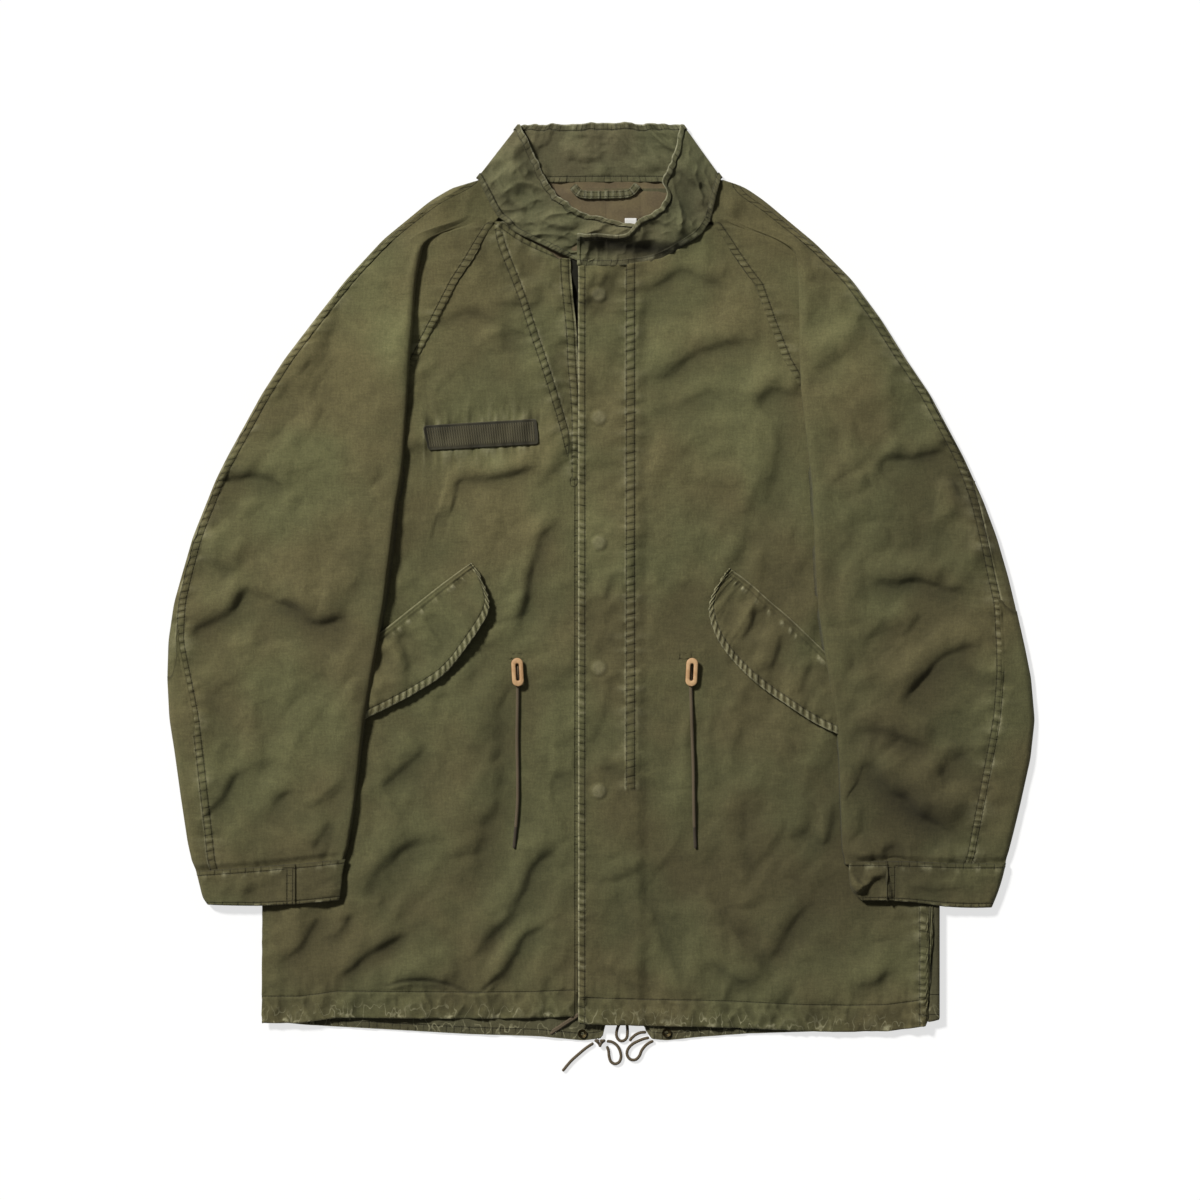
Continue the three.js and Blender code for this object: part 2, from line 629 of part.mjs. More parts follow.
function tube(points, diameter) {
  const curve = new THREE.CatmullRomCurve3(points);
  const section = new THREE.Shape();
  const sides = 8;
  for (let i = 0; i < sides; i++) {
    const angle = (2 * Math.PI * i) / sides;
    const corner = [(Math.cos(angle) * diameter) / 2, (Math.sin(angle) * diameter) / 2];
    section[i ? "lineTo" : "moveTo"](...corner);
  }
  const steps = Math.max(6, Math.round(curve.getLength() / (2 * diameter)));
  return new THREE.ExtrudeGeometry(section, { steps, extrudePath: curve, bevelEnabled: false });
}

function cordOnFront(route, front) {
  const lift = cloth / 2 + 2 * seamGap + waistCord / 2;
  return tube(route.map(({ x, y }) => new THREE.Vector3(x, y, heightOn(front, x, y) + lift)), waistCord);
}

function cordOnFloor(route) {
  return tube(route.map(({ x, y }) => new THREE.Vector3(x, y, hemCord / 2 + 0.1)), hemCord);
}

// Materials ------------------------------------------------------------------------------------------
const twill = new THREE.MeshStandardMaterial({ color: 0x5e5a3f, roughness: 0.9, metalness: 0 });
const twillShade = new THREE.MeshStandardMaterial({ color: 0x504e38, roughness: 0.9, metalness: 0 });
const collarCloth = new THREE.MeshStandardMaterial({ color: 0x565440, roughness: 0.92, metalness: 0 });
const liningCloth = new THREE.MeshStandardMaterial({ color: 0x64583e, roughness: 0.85, metalness: 0 });
const webbing = new THREE.MeshStandardMaterial({ color: 0x43402f, roughness: 0.8, metalness: 0 });
const labelCloth = new THREE.MeshStandardMaterial({ color: 0xd8d6cf, roughness: 0.8, metalness: 0 });
const leather = new THREE.MeshStandardMaterial({ color: 0xbe9e76, roughness: 0.6, metalness: 0 });
const braid = new THREE.MeshStandardMaterial({ color: 0x4d4332, roughness: 0.85, metalness: 0 });
const brass = new THREE.MeshStandardMaterial({ color: 0x6b5c33, roughness: 0.45, metalness: 0.9 });

// The parka --------------------------------------------------------------------------------------------
const group = new THREE.Group();
function add(name, geometry, material) {
  const mesh = new THREE.Mesh(geometry, material);
  mesh.name = name;
  group.add(mesh);
}

add("back_panel", backPanel(), twillShade);
add("front_right", sheet(rightFrontPoints, cloth), twill);
add("front_left", sheet(leftFrontPoints, cloth), twill);
add("fly_underlay", flatRectangle(-36, -404, 26, 296, 2, 2, 1, underlayLevel), twillShade);
add("sleeve_right_front", sleeveFront(rightSleeve, -1), twill);
add("sleeve_right_back", sheet(sleeveBackPoints(rightSleeve, -1), cloth), twill);
add("sleeve_left_front", sleeveFront(leftSleeve, 1), twill);
add("sleeve_left_back", sheet(sleeveBackPoints(leftSleeve, 1), cloth), twill);
add("elbow_patch_right", elbowPatch(rightSleeve, -1, rightPatchRows), twill);
add("elbow_patch_left", elbowPatch(leftSleeve, 1, leftPatchRows), twill);
add("cuff_right", cuff(asRows(["outer", "outerY", "inner", "innerY"], [
  [388.5, -277, 245, -265.5], [385, -291, 247.5, -278], [382, -302, 249, -292], [377, -309, 251, -304],
]), -1, 294), twill);
add("cuff_left", cuff(asRows(["outer", "outerY", "inner", "innerY"], [
  [388.5, -269, 238, -267.5], [385, -284, 238, -282], [380, -298, 241, -296], [374, -312, 250, -305],
]), 1, 274), twill);
add("collar", collar(), collarCloth);
add("neck_lining", flatRectangle(-78, 299, 84, 381, 4, 6, 0.8, 2.2), liningCloth);
add("hanger_loop", strip(
  asRows(["x", "y"], [[-26, 379], [-21, 373], [-13, 371.5], [22, 372.5], [29, 374], [34, 380]]),
  5, 1.2, () => 3.6), collarCloth);
add("neck_label", flatRectangle(4, 318, 52, 350, 2, 2, 0.4, 3.05), labelCloth);
add("pocket_flap_right", pocketFlap(rightFlap, rightFrontPoints), twill);
add("pocket_flap_left", pocketFlap(leftFlap, leftFrontPoints), twill);
const tapeCorners = [[-170, 150], [-62, 156], [-60, 133], [-166, 127]];
add("name_tape", patchOnFront(tapeCorners, rightFrontPoints, 1.2), webbing);
const snapHeights = [276, 158, 38, -82, -200];
snapHeights.forEach((y, i) => add(`snap_${i + 1}`, snap(-2, y, 3.1, 5.45), brass));
add("snap_6", snap(-46, 285, 1.8, 2.95), brass);
for (const [side, front, x, tilt] of [
  ["right", rightFrontPoints, -80, 0.05],
  ["left", leftFrontPoints, 87, -0.05],
]) {
  const y = -86;
  const z = heightOn(front, x, y) + cloth / 2 + waistCord + 3 * seamGap;
  add(`waist_cord_${side}`, cordOnFront(waistRoutes[side], front), braid);
  add(`leather_keeper_${side}`, leatherKeeper(x, y, z, tilt), leather);
}
for (const [name, route] of Object.entries(floorRoutes)) add(name, cordOnFloor(route), braid);
add("tail_knot", knot(-1, -441.3), braid);
add("hem_drawcord", strip(asRows(["x", "y"], [[-23, -415.5], [-35, -423.5], [-47, -431.5]]),
  7, 1.3, () => cloth + seamGap + 0.65), braid);
add("tail_eyelet_right", eyelet(-18, -433, cloth + seamGap), brass);
add("tail_eyelet_left", eyelet(63, -432, cloth + seamGap), brass);

export default group;
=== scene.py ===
"""Looks of a fishtail parka laid flat on its back, front up, its sleeves folded over the fronts.

Lengths in the tables are millimetres in the frame's own axes: +X to the wearer's left, +Y to the
collar, +Z up. "right" and "left" are the wearer's. Meshes are made in millimetres and turned into
metres when their objects are made.
"""
import math

import bpy
import numpy as np
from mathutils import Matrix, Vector


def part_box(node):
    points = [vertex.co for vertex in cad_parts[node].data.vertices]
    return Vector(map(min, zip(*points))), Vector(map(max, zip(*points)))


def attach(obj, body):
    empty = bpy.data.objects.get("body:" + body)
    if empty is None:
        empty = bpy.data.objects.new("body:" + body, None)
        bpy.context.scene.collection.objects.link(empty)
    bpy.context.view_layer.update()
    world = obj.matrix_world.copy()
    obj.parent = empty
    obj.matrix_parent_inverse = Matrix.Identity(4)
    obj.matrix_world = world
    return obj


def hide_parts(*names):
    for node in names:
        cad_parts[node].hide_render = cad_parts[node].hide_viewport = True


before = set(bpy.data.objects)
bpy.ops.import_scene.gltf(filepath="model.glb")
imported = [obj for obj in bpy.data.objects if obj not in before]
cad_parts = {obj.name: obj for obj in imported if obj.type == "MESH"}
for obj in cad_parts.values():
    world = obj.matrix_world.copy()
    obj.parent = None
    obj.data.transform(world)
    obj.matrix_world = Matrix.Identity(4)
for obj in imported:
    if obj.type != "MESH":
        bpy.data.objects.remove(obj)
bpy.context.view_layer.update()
scene = bpy.context.scene

MM = 0.001
FAR = 60.0  # stands for "no stitch row or edge near"

# Camera and light -------------------------------------------------------------------------------
VIEW_WIDTH = 1152.0
VIEW_CENTRE = (-1.0, -16.8)
LENS = 250.0
SENSOR = 36.0
KEY_ELEVATION = math.radians(40)
KEY_AZIMUTH = math.radians(135)  # where the light comes from: wearer's right shoulder
KEY_STRENGTH = 4.2
KEY_SOFTNESS = math.radians(9)
SKY_STRENGTH = 0.16


def make_camera():
    data = bpy.data.cameras.new("camera")
    data.lens = LENS
    data.sensor_width = SENSOR
    data.clip_end = 50
    camera = bpy.data.objects.new("camera", data)
    distance = VIEW_WIDTH * MM * LENS / SENSOR
    camera.location = (VIEW_CENTRE[0] * MM, VIEW_CENTRE[1] * MM, distance)
    scene.collection.objects.link(camera)
    scene.camera = camera


def make_light():
    """A sun from above the wearer's right shoulder, and a pale sky round it."""
    data = bpy.data.lights.new("key", "SUN")
    data.energy = KEY_STRENGTH
    data.angle = KEY_SOFTNESS
    data.color = (1.0, 0.985, 0.96)
    lamp = bpy.data.objects.new("key", data)
    flat = math.cos(KEY_ELEVATION)
    towards = Vector((flat * math.cos(KEY_AZIMUTH), flat * math.sin(KEY_AZIMUTH),
                      math.sin(KEY_ELEVATION)))
    lamp.rotation_euler = towards.to_track_quat("Z", "Y").to_euler()
    scene.collection.objects.link(lamp)
    world = bpy.data.worlds.new("sky")
    world.use_nodes = True
    sky = world.node_tree.nodes["Background"]
    sky.inputs["Color"].default_value = (0.97, 0.985, 1.0, 1)
    sky.inputs["Strength"].default_value = SKY_STRENGTH
    scene.world = world
    scene.view_settings.view_transform = "Standard"


make_camera()
make_light()


# Numbers ----------------------------------------------------------------------------------------
def lerp(a, b, t):
    return a + (b - a) * t


def smoothstep(x, low, high):
    t = np.clip((x - low) / (high - low), 0, 1)
    return t * t * (3 - 2 * t)


def bell(x, width):
    return np.exp(-((x / width) ** 2))


def noise(x, y, cell, seed):
    """Smooth hills and hollows from -1 to 1, about `cell` apart, on a grid turned by the seed."""
    size = 97
    lattice = np.random.default_rng(seed).uniform(-1, 1, (size, size))
    turn = 0.37 + seed * 1.7
    u = (x * math.cos(turn) + y * math.sin(turn)) / cell + 40
    v = (y * math.cos(turn) - x * math.sin(turn)) / cell + 40
    i, j = np.floor(u).astype(int), np.floor(v).astype(int)
    fu, fv = u - i, v - j
    fu = fu * fu * fu * (fu * (fu * 6 - 15) + 10)
    fv = fv * fv * fv * (fv * (fv * 6 - 15) + 10)
    a = lerp(lattice[i % size, j % size], lattice[(i + 1) % size, j % size], fu)
    b = lerp(lattice[i % size, (j + 1) % size], lattice[(i + 1) % size, (j + 1) % size], fu)
    return lerp(a, b, fv)


def wave(s, cell, seed):
    """Noise along a line."""
    return noise(s, np.zeros_like(s), cell, seed)


def soft_abs(value):
    return np.sqrt(value * value + 0.02) - 0.14


def crumple(x, y, seed):
    """Relief of washed cotton: broad swells crossed by soft creases of several sizes."""
    wx = x + 13 * noise(x, y, 60, seed + 1)
    wy = y + 13 * noise(x, y, 60, seed + 2)
    swell = 1.4 * noise(wx, wy, 80, seed + 3)
    ridges = 2.6 * (0.4 - soft_abs(noise(wx, wy, 46, seed + 4)))
    valleys = 1.3 * (soft_abs(noise(wx, wy, 24, seed + 5)) - 0.4)
    slant = math.radians(58)
    u = wx * math.cos(slant) + wy * math.sin(slant)
    v = wy * math.cos(slant) - wx * math.sin(slant)
    drawn = 0.9 * noise(u * 0.35, v, 17, seed + 7)
    return swell + ridges + valleys + drawn + 0.32 * noise(x, y, 10, seed + 6)


def settled(z, depth=1.8):
    """Hollows that flatten out at a depth, where the cloth meets what lies below it."""
    return np.where(z < 0, depth * np.tanh(z / depth), z)


def smooth_line(points, step=6.0):
    """A Catmull-Rom curve through a few points, resampled about every `step`."""
    p = np.array(points, float)
    if len(p) == 2:
        count = max(2, int(np.linalg.norm(p[1] - p[0]) / step) + 1)
        return np.array([lerp(p[0], p[1], t) for t in np.linspace(0, 1, count)])
    p = np.vstack([2 * p[0] - p[1], p, 2 * p[-1] - p[-2]])
    out = []
    for a, b, c, d in zip(p[:-3], p[1:-2], p[2:-1], p[3:]):
        count = max(1, int(round(np.linalg.norm(c - b) / step)))
        for t in np.arange(count) / count:
            out.append(0.5 * (2 * b + (c - a) * t + (2 * a - 5 * b + 4 * c - d) * t * t
                              + (3 * b - a - 3 * c + d) * t ** 3))
    out.append(p[-2])
    return np.array(out)


def spline_table(rows, parameter):
    """Rows of control values, read along a smooth curve at fractional row numbers."""
    p = np.array(rows, float)
    i = np.clip(np.floor(parameter).astype(int), 0, len(p) - 2)
    t = parameter - i
    a, b = p[np.maximum(i - 1, 0)], p[i]
    c, d = p[i + 1], p[np.minimum(i + 2, len(p) - 1)]
    shape = (len(t),) + (1,) * (p.ndim - 1)
    t = t.reshape(shape)
    return 0.5 * (2 * b + (c - a) * t + (2 * a - 5 * b + 4 * c - d) * t * t
                  + (3 * b - a - 3 * c + d) * t ** 3)


def along_line(x, y, line):
    """Distance from a line, positive to the right of its way, the length along it, and its length."""
    best = np.full(x.shape, 1e9)
    signed = np.zeros(x.shape)
    along = np.zeros(x.shape)
    start = 0.0
    for (x0, y0), (x1, y1) in zip(line[:-1], line[1:]):
        dx, dy = x1 - x0, y1 - y0
        length = math.hypot(dx, dy)
        t = ((x - x0) * dx + (y - y0) * dy) / length ** 2
        t = np.clip(t, 0, 1)
        ex, ey = x - x0 - t * dx, y - y0 - t * dy
        gap = np.hypot(ex, ey)
        nearer = gap < best
        best = np.where(nearer, gap, best)
        signed = np.where(nearer, np.copysign(gap, dy * ex - dx * ey), signed)
        along = np.where(nearer, start + t * length, along)
        start += length
    return signed, along, start


# The frame's outlines ---------------------------------------------------------------------------
class Outline:
    """Where a node of the frame is cut by planes across X or Y."""

    def __init__(self, node):
        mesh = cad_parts[node].data
        points = np.empty(len(mesh.vertices) * 3)
        mesh.vertices.foreach_get("co", points)
        points = points.reshape(-1, 3) / MM
        ends = np.empty(len(mesh.edges) * 2, int)
        mesh.edges.foreach_get("vertices", ends)
        self.a, self.b = points[ends[::2]], points[ends[1::2]]

    def span(self, values, across, above=-1e9, below=1e9):
        """Lowest and highest place along the other axis, at each value of axis `across`."""
        other = 1 - across
        low, high = np.full(len(values), np.nan), np.full(len(values), np.nan)
        for k, value in enumerate(values):
            a, b = self.a[:, across] - value, self.b[:, across] - value
            cut = (a * b <= 0) & (a != b)
            t = a[cut] / (a[cut] - b[cut])
            z = lerp(self.a[cut, 2], self.b[cut, 2], t)
            place = lerp(self.a[cut, other], self.b[cut, other], t)[(z > above) & (z < below)]
            if len(place):
                low[k], high[k] = place.min(), place.max()
        return fill_gaps(low), fill_gaps(high)


def fill_gaps(values):
    known = np.flatnonzero(~np.isnan(values))
    return np.interp(np.arange(len(values)), known, values[known])


def softened(values, reach):
    """Running mean that rounds off the corners of a faceted outline."""
    kernel = np.hanning(2 * reach + 3)[1:-1]
    padded = np.concatenate([2 * values[0] - values[reach:0:-1], values,
                             2 * values[-1] - values[-2:-reach - 2:-1]])
    return np.convolve(padded, kernel / kernel.sum(), "valid")


def softened_grid(values, reach=3):
    rows = np.stack([softened(row, reach) for row in values])
    return np.stack([softened(column, reach) for column in rows.T], 1)


def run_length(*line):
    """Length along a line from its start, at each of its points."""
    steps = np.diff(np.stack(line, -1), axis=0)
    return np.concatenate([[0], np.cumsum(np.linalg.norm(steps, axis=1))])


def subdivided(counts):
    """Fractional numbers that divide each whole step into its count of parts."""
    parts = [np.arange(count) / count + k for k, count in enumerate(counts)]
    return np.concatenate(parts + [[len(counts)]])


# Meshes -----------------------------------------------------------------------------------------
RIM_SHARE = 0.42  # how far a sheet's rim stands out, as a share of its thickness
def unit(v):
    return v / np.maximum(np.linalg.norm(v, axis=-1, keepdims=True), 1e-9)


def grid_normals(points):
    across = np.gradient(points, axis=1)
    along = np.gradient(points, axis=0)
    return unit(np.cross(across, along))


def normals_up(points, at):
    """Normals of a grid of points, turned so that they point up at one of them."""
    normals = grid_normals(points)
    return -normals if normals[at][2] < 0 else normals


def make_object(name, points, faces, material, values=None):
    """A smooth mesh that rides on the root, from millimetres, with a value at each point."""
    mesh = bpy.data.meshes.new(name)
    mesh.from_pydata((points * MM).tolist(), [], faces)
    mesh.polygons.foreach_set("use_smooth", np.ones(len(mesh.polygons), bool))
    for key, value in (values or {}).items():
        layer = mesh.attributes.new(key, "FLOAT", "POINT")
        layer.data.foreach_set("value", np.ascontiguousarray(value, np.float32))
    mesh.materials.append(material)
    mesh.update()
    piece = bpy.data.objects.new(name, mesh)
    scene.collection.objects.link(piece)
    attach(piece, "root")
    return piece


def stands_for(piece, nodes, slot, **sheet):
    """The piece replaces CAD nodes, which are hidden. Its slot and how it lies are not used."""
    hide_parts(*nodes)
    return piece


def ring_faces(ids, close_rows=True):
    """Quads between rings of points; with `close_rows` the last ring meets the first."""
    around = np.roll(ids, -1, axis=1)
    quads = np.stack([ids, around, np.roll(around, -1, axis=0), np.roll(ids, -1, axis=0)], -1)
    return (quads if close_rows else quads[:-1]).reshape(-1, 4)


def border_of(grid, inward=0):
    """Values round the border of a grid, or so many cells in from each side."""
    sides = (grid[inward], grid[:, -1 - inward], grid[-1 - inward, ::-1], grid[::-1, inward])
    return np.concatenate([side[:-1] for side in sides])


def grid_quads(ids):
    return np.stack([ids[:-1, :-1], ids[:-1, 1:], ids[1:, 1:], ids[1:, :-1]], -1)


def sheet_faces(rows, columns, tuck):
    """Quads of a sheet's top, of its underside and of its rim, whose points are numbered last."""
    ids = np.arange(rows * columns).reshape(rows, columns)
    below = grid_quads(ids + ids.size)
    if tuck:
        i, j = np.indices(below.shape[:2])
        deep = np.minimum(np.minimum(i, rows - 2 - i), np.minimum(j, columns - 2 - j)) >= tuck
        below = below[~deep]
    border = border_of(ids)
    under = border + ids.size
    rim = 2 * ids.size + np.arange(len(border))
    after = np.roll(np.arange(len(border)), -1)
    upper_rim = np.stack([border, rim, rim[after], border[after]], -1)
    lower_rim = np.stack([rim, under, under[after], rim[after]], -1)
    return np.concatenate([grid_quads(ids).reshape(-1, 4), below.reshape(-1, 4)[:, ::-1],
                           upper_rim, lower_rim])


def shell(name, top, thickness, material, values=None, tuck=None, up=None):
    """A sheet of cloth below a grid of points, with rounded rims.

    With `tuck`, the underside is only made that many cells in from the rims, where it can be seen.
    `up` is the row and column of a point that faces up; by default it is the middle one.
    """
    rows, columns = top.shape[:2]
    normals = normals_up(top, up or (rows // 2, columns // 2))
    bottom = top - normals * thickness
    middle = (top + bottom) / 2
    edge = border_of(middle)
    rim = edge + unit(edge - border_of(middle, 1)) * thickness * RIM_SHARE
    faces = sheet_faces(rows, columns, tuck)
    if np.cross(top[0, 1] - top[0, 0], top[1, 0] - top[0, 0]) @ normals[0, 0] < 0:
        faces = faces[:, ::-1]
    points = np.concatenate([top.reshape(-1, 3), bottom.reshape(-1, 3), rim])
    used = np.unique(faces)
    renumber = np.zeros(len(points), int)
    renumber[used] = np.arange(len(used))
    kept = {}
    for key, value in (values or {}).items():
        grid = np.broadcast_to(value, (rows, columns))
        kept[key] = np.concatenate([grid.ravel(), grid.ravel(), border_of(grid)])[used]
    return make_object(name, points[used], renumber[faces].tolist(), material, kept)


# Materials --------------------------------------------------------------------------------------
class Graph:
    """Short names for the nodes of one material."""

    def __init__(self, name, **finish):
        self.material = bpy.data.materials.new(name)
        self.material.use_nodes = True
        self.tree = self.material.node_tree
        self.shader = self.tree.nodes["Principled BSDF"]
        for key, value in finish.items():
            self.shader.inputs[key.replace("_", " ")].default_value = value
        self.place = self.node("ShaderNodeTexCoord").outputs["Object"]

    def node(self, kind, **settings):
        node = self.tree.nodes.new(kind)
        for key, value in settings.items():
            setattr(node, key, value)
        return node

    def put(self, socket, value):
        if isinstance(value, bpy.types.NodeSocket):
            self.tree.links.new(value, socket)
        else:
            socket.default_value = value

    def math(self, operation, a, b=0.0, c=0.0):
        node = self.node("ShaderNodeMath", operation=operation)
        for socket, value in zip(node.inputs, (a, b, c)):
            self.put(socket, value)
        return node.outputs[0]

    def times(self, a, b):
        return self.math("MULTIPLY", a, b)

    def larger(self, a, b):
        return self.math("MAXIMUM", a, b)

    def plus(self, value, share, base):
        """`value` times `share`, plus `base`."""
        return self.math("MULTIPLY_ADD", value, share, base)

    def absolute(self, value):
        return self.math("ABSOLUTE", value)

    def ramp(self, value, low, high, start=0.0, end=1.0):
        node = self.node("ShaderNodeMapRange", interpolation_type="SMOOTHSTEP")
        for socket, item in zip(node.inputs, (value, low, high, start, end)):
            self.put(socket, item)
        return node.outputs[0]

    def attribute(self, name):
        return self.node("ShaderNodeAttribute", attribute_name=name).outputs["Fac"]

    def mottle(self, size, detail=2.0, rough=0.5, place=None):
        """Noise of a feature size in millimetres."""
        node = self.node("ShaderNodeTexNoise")
        self.put(node.inputs["Vector"], place or self.place)
        node.inputs["Scale"].default_value = 1 / (size * MM)
        node.inputs["Detail"].default_value = detail
        node.inputs["Roughness"].default_value = rough
        return node.outputs["Fac"]

    def mapped(self, kind, value):
        """Texture places stretched or turned: `kind` is Scale or Rotation."""
        node = self.node("ShaderNodeMapping")
        self.put(node.inputs["Vector"], self.place)
        node.inputs[kind].default_value = value
        return node.outputs[0]

    def mix(self, share, a, b):
        node = self.node("ShaderNodeMix", data_type="RGBA")
        self.put(node.inputs["Factor"], share)
        self.put(node.inputs[6], a)
        self.put(node.inputs[7], b)
        return node.outputs[2]

    def scaled(self, colour, value):
        """A colour times a grey value."""
        node = self.node("ShaderNodeVectorMath", operation="SCALE")
        self.put(node.inputs[0], colour[:3] if isinstance(colour, tuple) else colour)
        self.put(node.inputs["Scale"], value)
        return node.outputs[0]

    def ribs(self, pitch, direction, place, settings):
        """Ribs across X, Y or Z, one every `pitch` millimetres."""
        node = self.node("ShaderNodeTexWave", bands_direction=direction)
        self.put(node.inputs["Vector"], place)
        node.inputs["Scale"].default_value = math.pi / 10 / (pitch * MM)
        for key, value in settings.items():
            node.inputs[key].default_value = value
        return node.outputs["Fac"]

    def finish(self, colour, height, depth):
        """Links the colour, and a height from 0 to 1 that stands for `depth` millimetres."""
        bump = self.node("ShaderNodeBump")
        bump.inputs["Distance"].default_value = depth * MM
        bump.inputs["Strength"].default_value = 1.0
        self.put(bump.inputs["Height"], height)
        self.put(self.shader.inputs["Base Color"], colour)
        self.put(self.shader.inputs["Normal"], bump.outputs["Normal"])
        return self.material


def rgb(red, green, blue):
    """A display colour from 0 to 255 as the linear colour that a shader takes."""
    def linear(c):
        c /= 255
        return c / 12.92 if c <= 0.04045 else ((c + 0.055) / 1.055) ** 2.4
    return (linear(red), linear(green), linear(blue), 1.0)


STITCH_PITCH = 3.0
SEAM_HALF = 3.3  # from the middle of a felled band to its stitch rows
EDGE_ROW = 6.3  # stitch row beside a finished edge
HEM_ROW = 25.0  # stitch row above the hem channel
PUCKER_PITCH = 7.4


def dyed(g, green, brown, tone):
    """Uneven dye, and the same with its clouds, grain and slubs, times the tone, which also holds painted
    shade.
    """
    dye = g.mix(g.ramp(g.mottle(110, 3), 0.36, 0.64), green, brown)
    cloud = g.ramp(g.mottle(17, 4, 0.6), 0.25, 0.75, 0.92, 1.08)
    grain = g.ramp(g.mottle(1.6, 3, 0.7), 0.2, 0.8, 0.84, 1.16)
    slubs = g.math("ADD", g.mottle(1.9, 2, 0.6, g.mapped("Scale", (0.2, 1, 1))),
                   g.mottle(1.9, 2, 0.6, g.mapped("Scale", (1, 0.2, 1))))
    slubs = g.ramp(slubs, 0.75, 1.25, 0.91, 1.09)
    return dye, g.scaled(dye, g.times(g.times(cloud, grain), g.times(slubs, tone)))


def stitch_grooves(g, seam, edge, hem, run):
    """Stitch rows beside seams and edges and above the hem, dashed along their run."""
    def row(distance, place):
        return g.ramp(g.absolute(g.math("SUBTRACT", distance, place)), 0.75, 0.15)

    rows = g.larger(g.larger(row(seam, SEAM_HALF), row(edge, EDGE_ROW)), row(hem, HEM_ROW))
    dash = g.math("SINE", g.times(run, 2 * math.pi / STITCH_PITCH))
    return g.times(rows, g.plus(g.plus(dash, 0.5, 0.5), -0.45, 1.0))


def pucker_hollow_shade(g, seam, edge, run):
    """Thin hollows between the puckers of a seam or an edge, painted dark as shade and dented."""
    across = g.absolute(g.math("SINE", g.times(run, math.pi / PUCKER_PITCH)))
    inside = g.larger(g.ramp(seam, SEAM_HALF + 2.2, SEAM_HALF - 0.3),
                    g.ramp(edge, EDGE_ROW + 2.2, EDGE_ROW - 0.3))
    uneven = g.ramp(g.mottle(9, 2), 0.36, 0.58, 0.25, 1.0)
    return g.times(g.ramp(across, 0.42, 0.05), g.times(inside, uneven))


def hem_flames(g, hem):
    """Thin pale lines, like flames, where the hem's channel has been drawn up."""
    wavy = g.math("SUBTRACT", g.mottle(9, 1, 0.5, g.mapped("Scale", (1, 0.55, 1))), 0.5)
    flames = g.ramp(g.absolute(wavy), 0.028, 0.006)
    low_down = g.times(g.ramp(hem, 21, 3), g.ramp(g.mottle(26, 1), 0.36, 0.5))
    return g.times(g.times(flames, low_down), 0.75)


def twill(name, green, brown, pale):
    """Washed cotton twill: dyed unevenly, worn pale where it stands up, dark in its stitch rows, with
    painted shade in its creases and in the hollows between puckers.
    """
    g = Graph(name, Roughness=0.88, Sheen_Weight=0.03, Sheen_Roughness=0.55,
              Specular_IOR_Level=0.25)
    seam, edge, hem, run, tone, wear_and_shade = (
        g.attribute(key) for key in ("seam", "edge", "hem", "run", "tone", "wear_and_shade"))
    dye, colour = dyed(g, green, brown, tone)
    groove = stitch_grooves(g, seam, edge, hem, run)
    colour = g.mix(g.times(groove, 0.85), colour, g.scaled(dye, 0.28))
    shaded_rungs = pucker_hollow_shade(g, seam, edge, run)
    # Painted shade in the hollows between the puckers
    colour = g.mix(g.times(shaded_rungs, 0.6), colour, g.scaled(dye, 0.3))

    # Pale wear along puckers and edges, and painted shade in their hollows
    worn = g.larger(wear_and_shade, g.times(g.ramp(edge, 1.3, 0.2), 0.85))
    worn = g.larger(worn, hem_flames(g, hem))
    worn = g.times(worn, g.plus(g.ramp(g.mottle(4, 4, 0.75), 0.36, 0.66), 0.6, 0.4))
    colour = g.mix(g.math("MINIMUM", worn, 0.9), colour, pale)
    hollow_shade = g.times(g.larger(g.times(wear_and_shade, -1.0), 0.0), 0.62)
    colour = g.mix(hollow_shade, colour, g.scaled(dye, 0.3))

    # Twill lines, yarns and the stitch grooves
    turned = g.mapped("Rotation", (0, 0, math.radians(32)))
    height = g.plus(g.ribs(1.25, "X", turned, {"Distortion": 1.2}), 0.22, 0.4)
    height = g.plus(g.mottle(2.2, 3, 0.7), 0.6, height)
    height = g.plus(g.mottle(8, 3, 0.6), 1.5, height)
    height = g.plus(groove, -1.3, height)
    height = g.plus(shaded_rungs, -0.9, height)
    return g.finish(colour, height, 0.5)


TWILL_GREEN = rgb(90, 89, 58)
TWILL_BROWN = rgb(90, 84, 55)
TWILL_PALE = rgb(152, 148, 116)
cloth = twill("twill", TWILL_GREEN, TWILL_BROWN, TWILL_PALE)
cloth_back = twill("twill_reverse", rgb(84, 82, 58), rgb(85, 80, 55), TWILL_PALE)
collar_cloth = twill("collar_twill", rgb(91, 91, 63), rgb(91, 86, 61), rgb(154, 152, 124))


def lining_material():
    g = Graph("lining_poplin", Roughness=0.75, Sheen_Weight=0.1, Specular_IOR_Level=0.3)
    weave = g.ramp(g.mottle(2.0, 3, 0.7), 0.2, 0.8, 0.88, 1.12)
    dye = g.mix(g.ramp(g.mottle(30, 3), 0.35, 0.65), rgb(104, 92, 64), rgb(92, 80, 57))
    seam = g.ramp(g.attribute("seam"), 1.4, 0.2)
    colour = g.mix(g.math("MULTIPLY", seam, 0.6), g.scaled(dye, weave), rgb(60, 50, 36))
    return g.finish(colour, g.mottle(3, 3, 0.7), 0.3)


def webbing_material():
    g = Graph("ribbed_webbing", Roughness=0.8, Sheen_Weight=0.1, Specular_IOR_Level=0.3)
    ribs = g.attribute("rib")
    weave = g.ramp(g.mottle(1.5, 3, 0.7), 0.2, 0.8, 0.85, 1.15)
    dye = g.mix(ribs, rgb(38, 36, 25), rgb(82, 77, 54))
    return g.finish(g.scaled(dye, weave), g.math("ADD", ribs, g.mottle(1.2, 2)), 0.25)


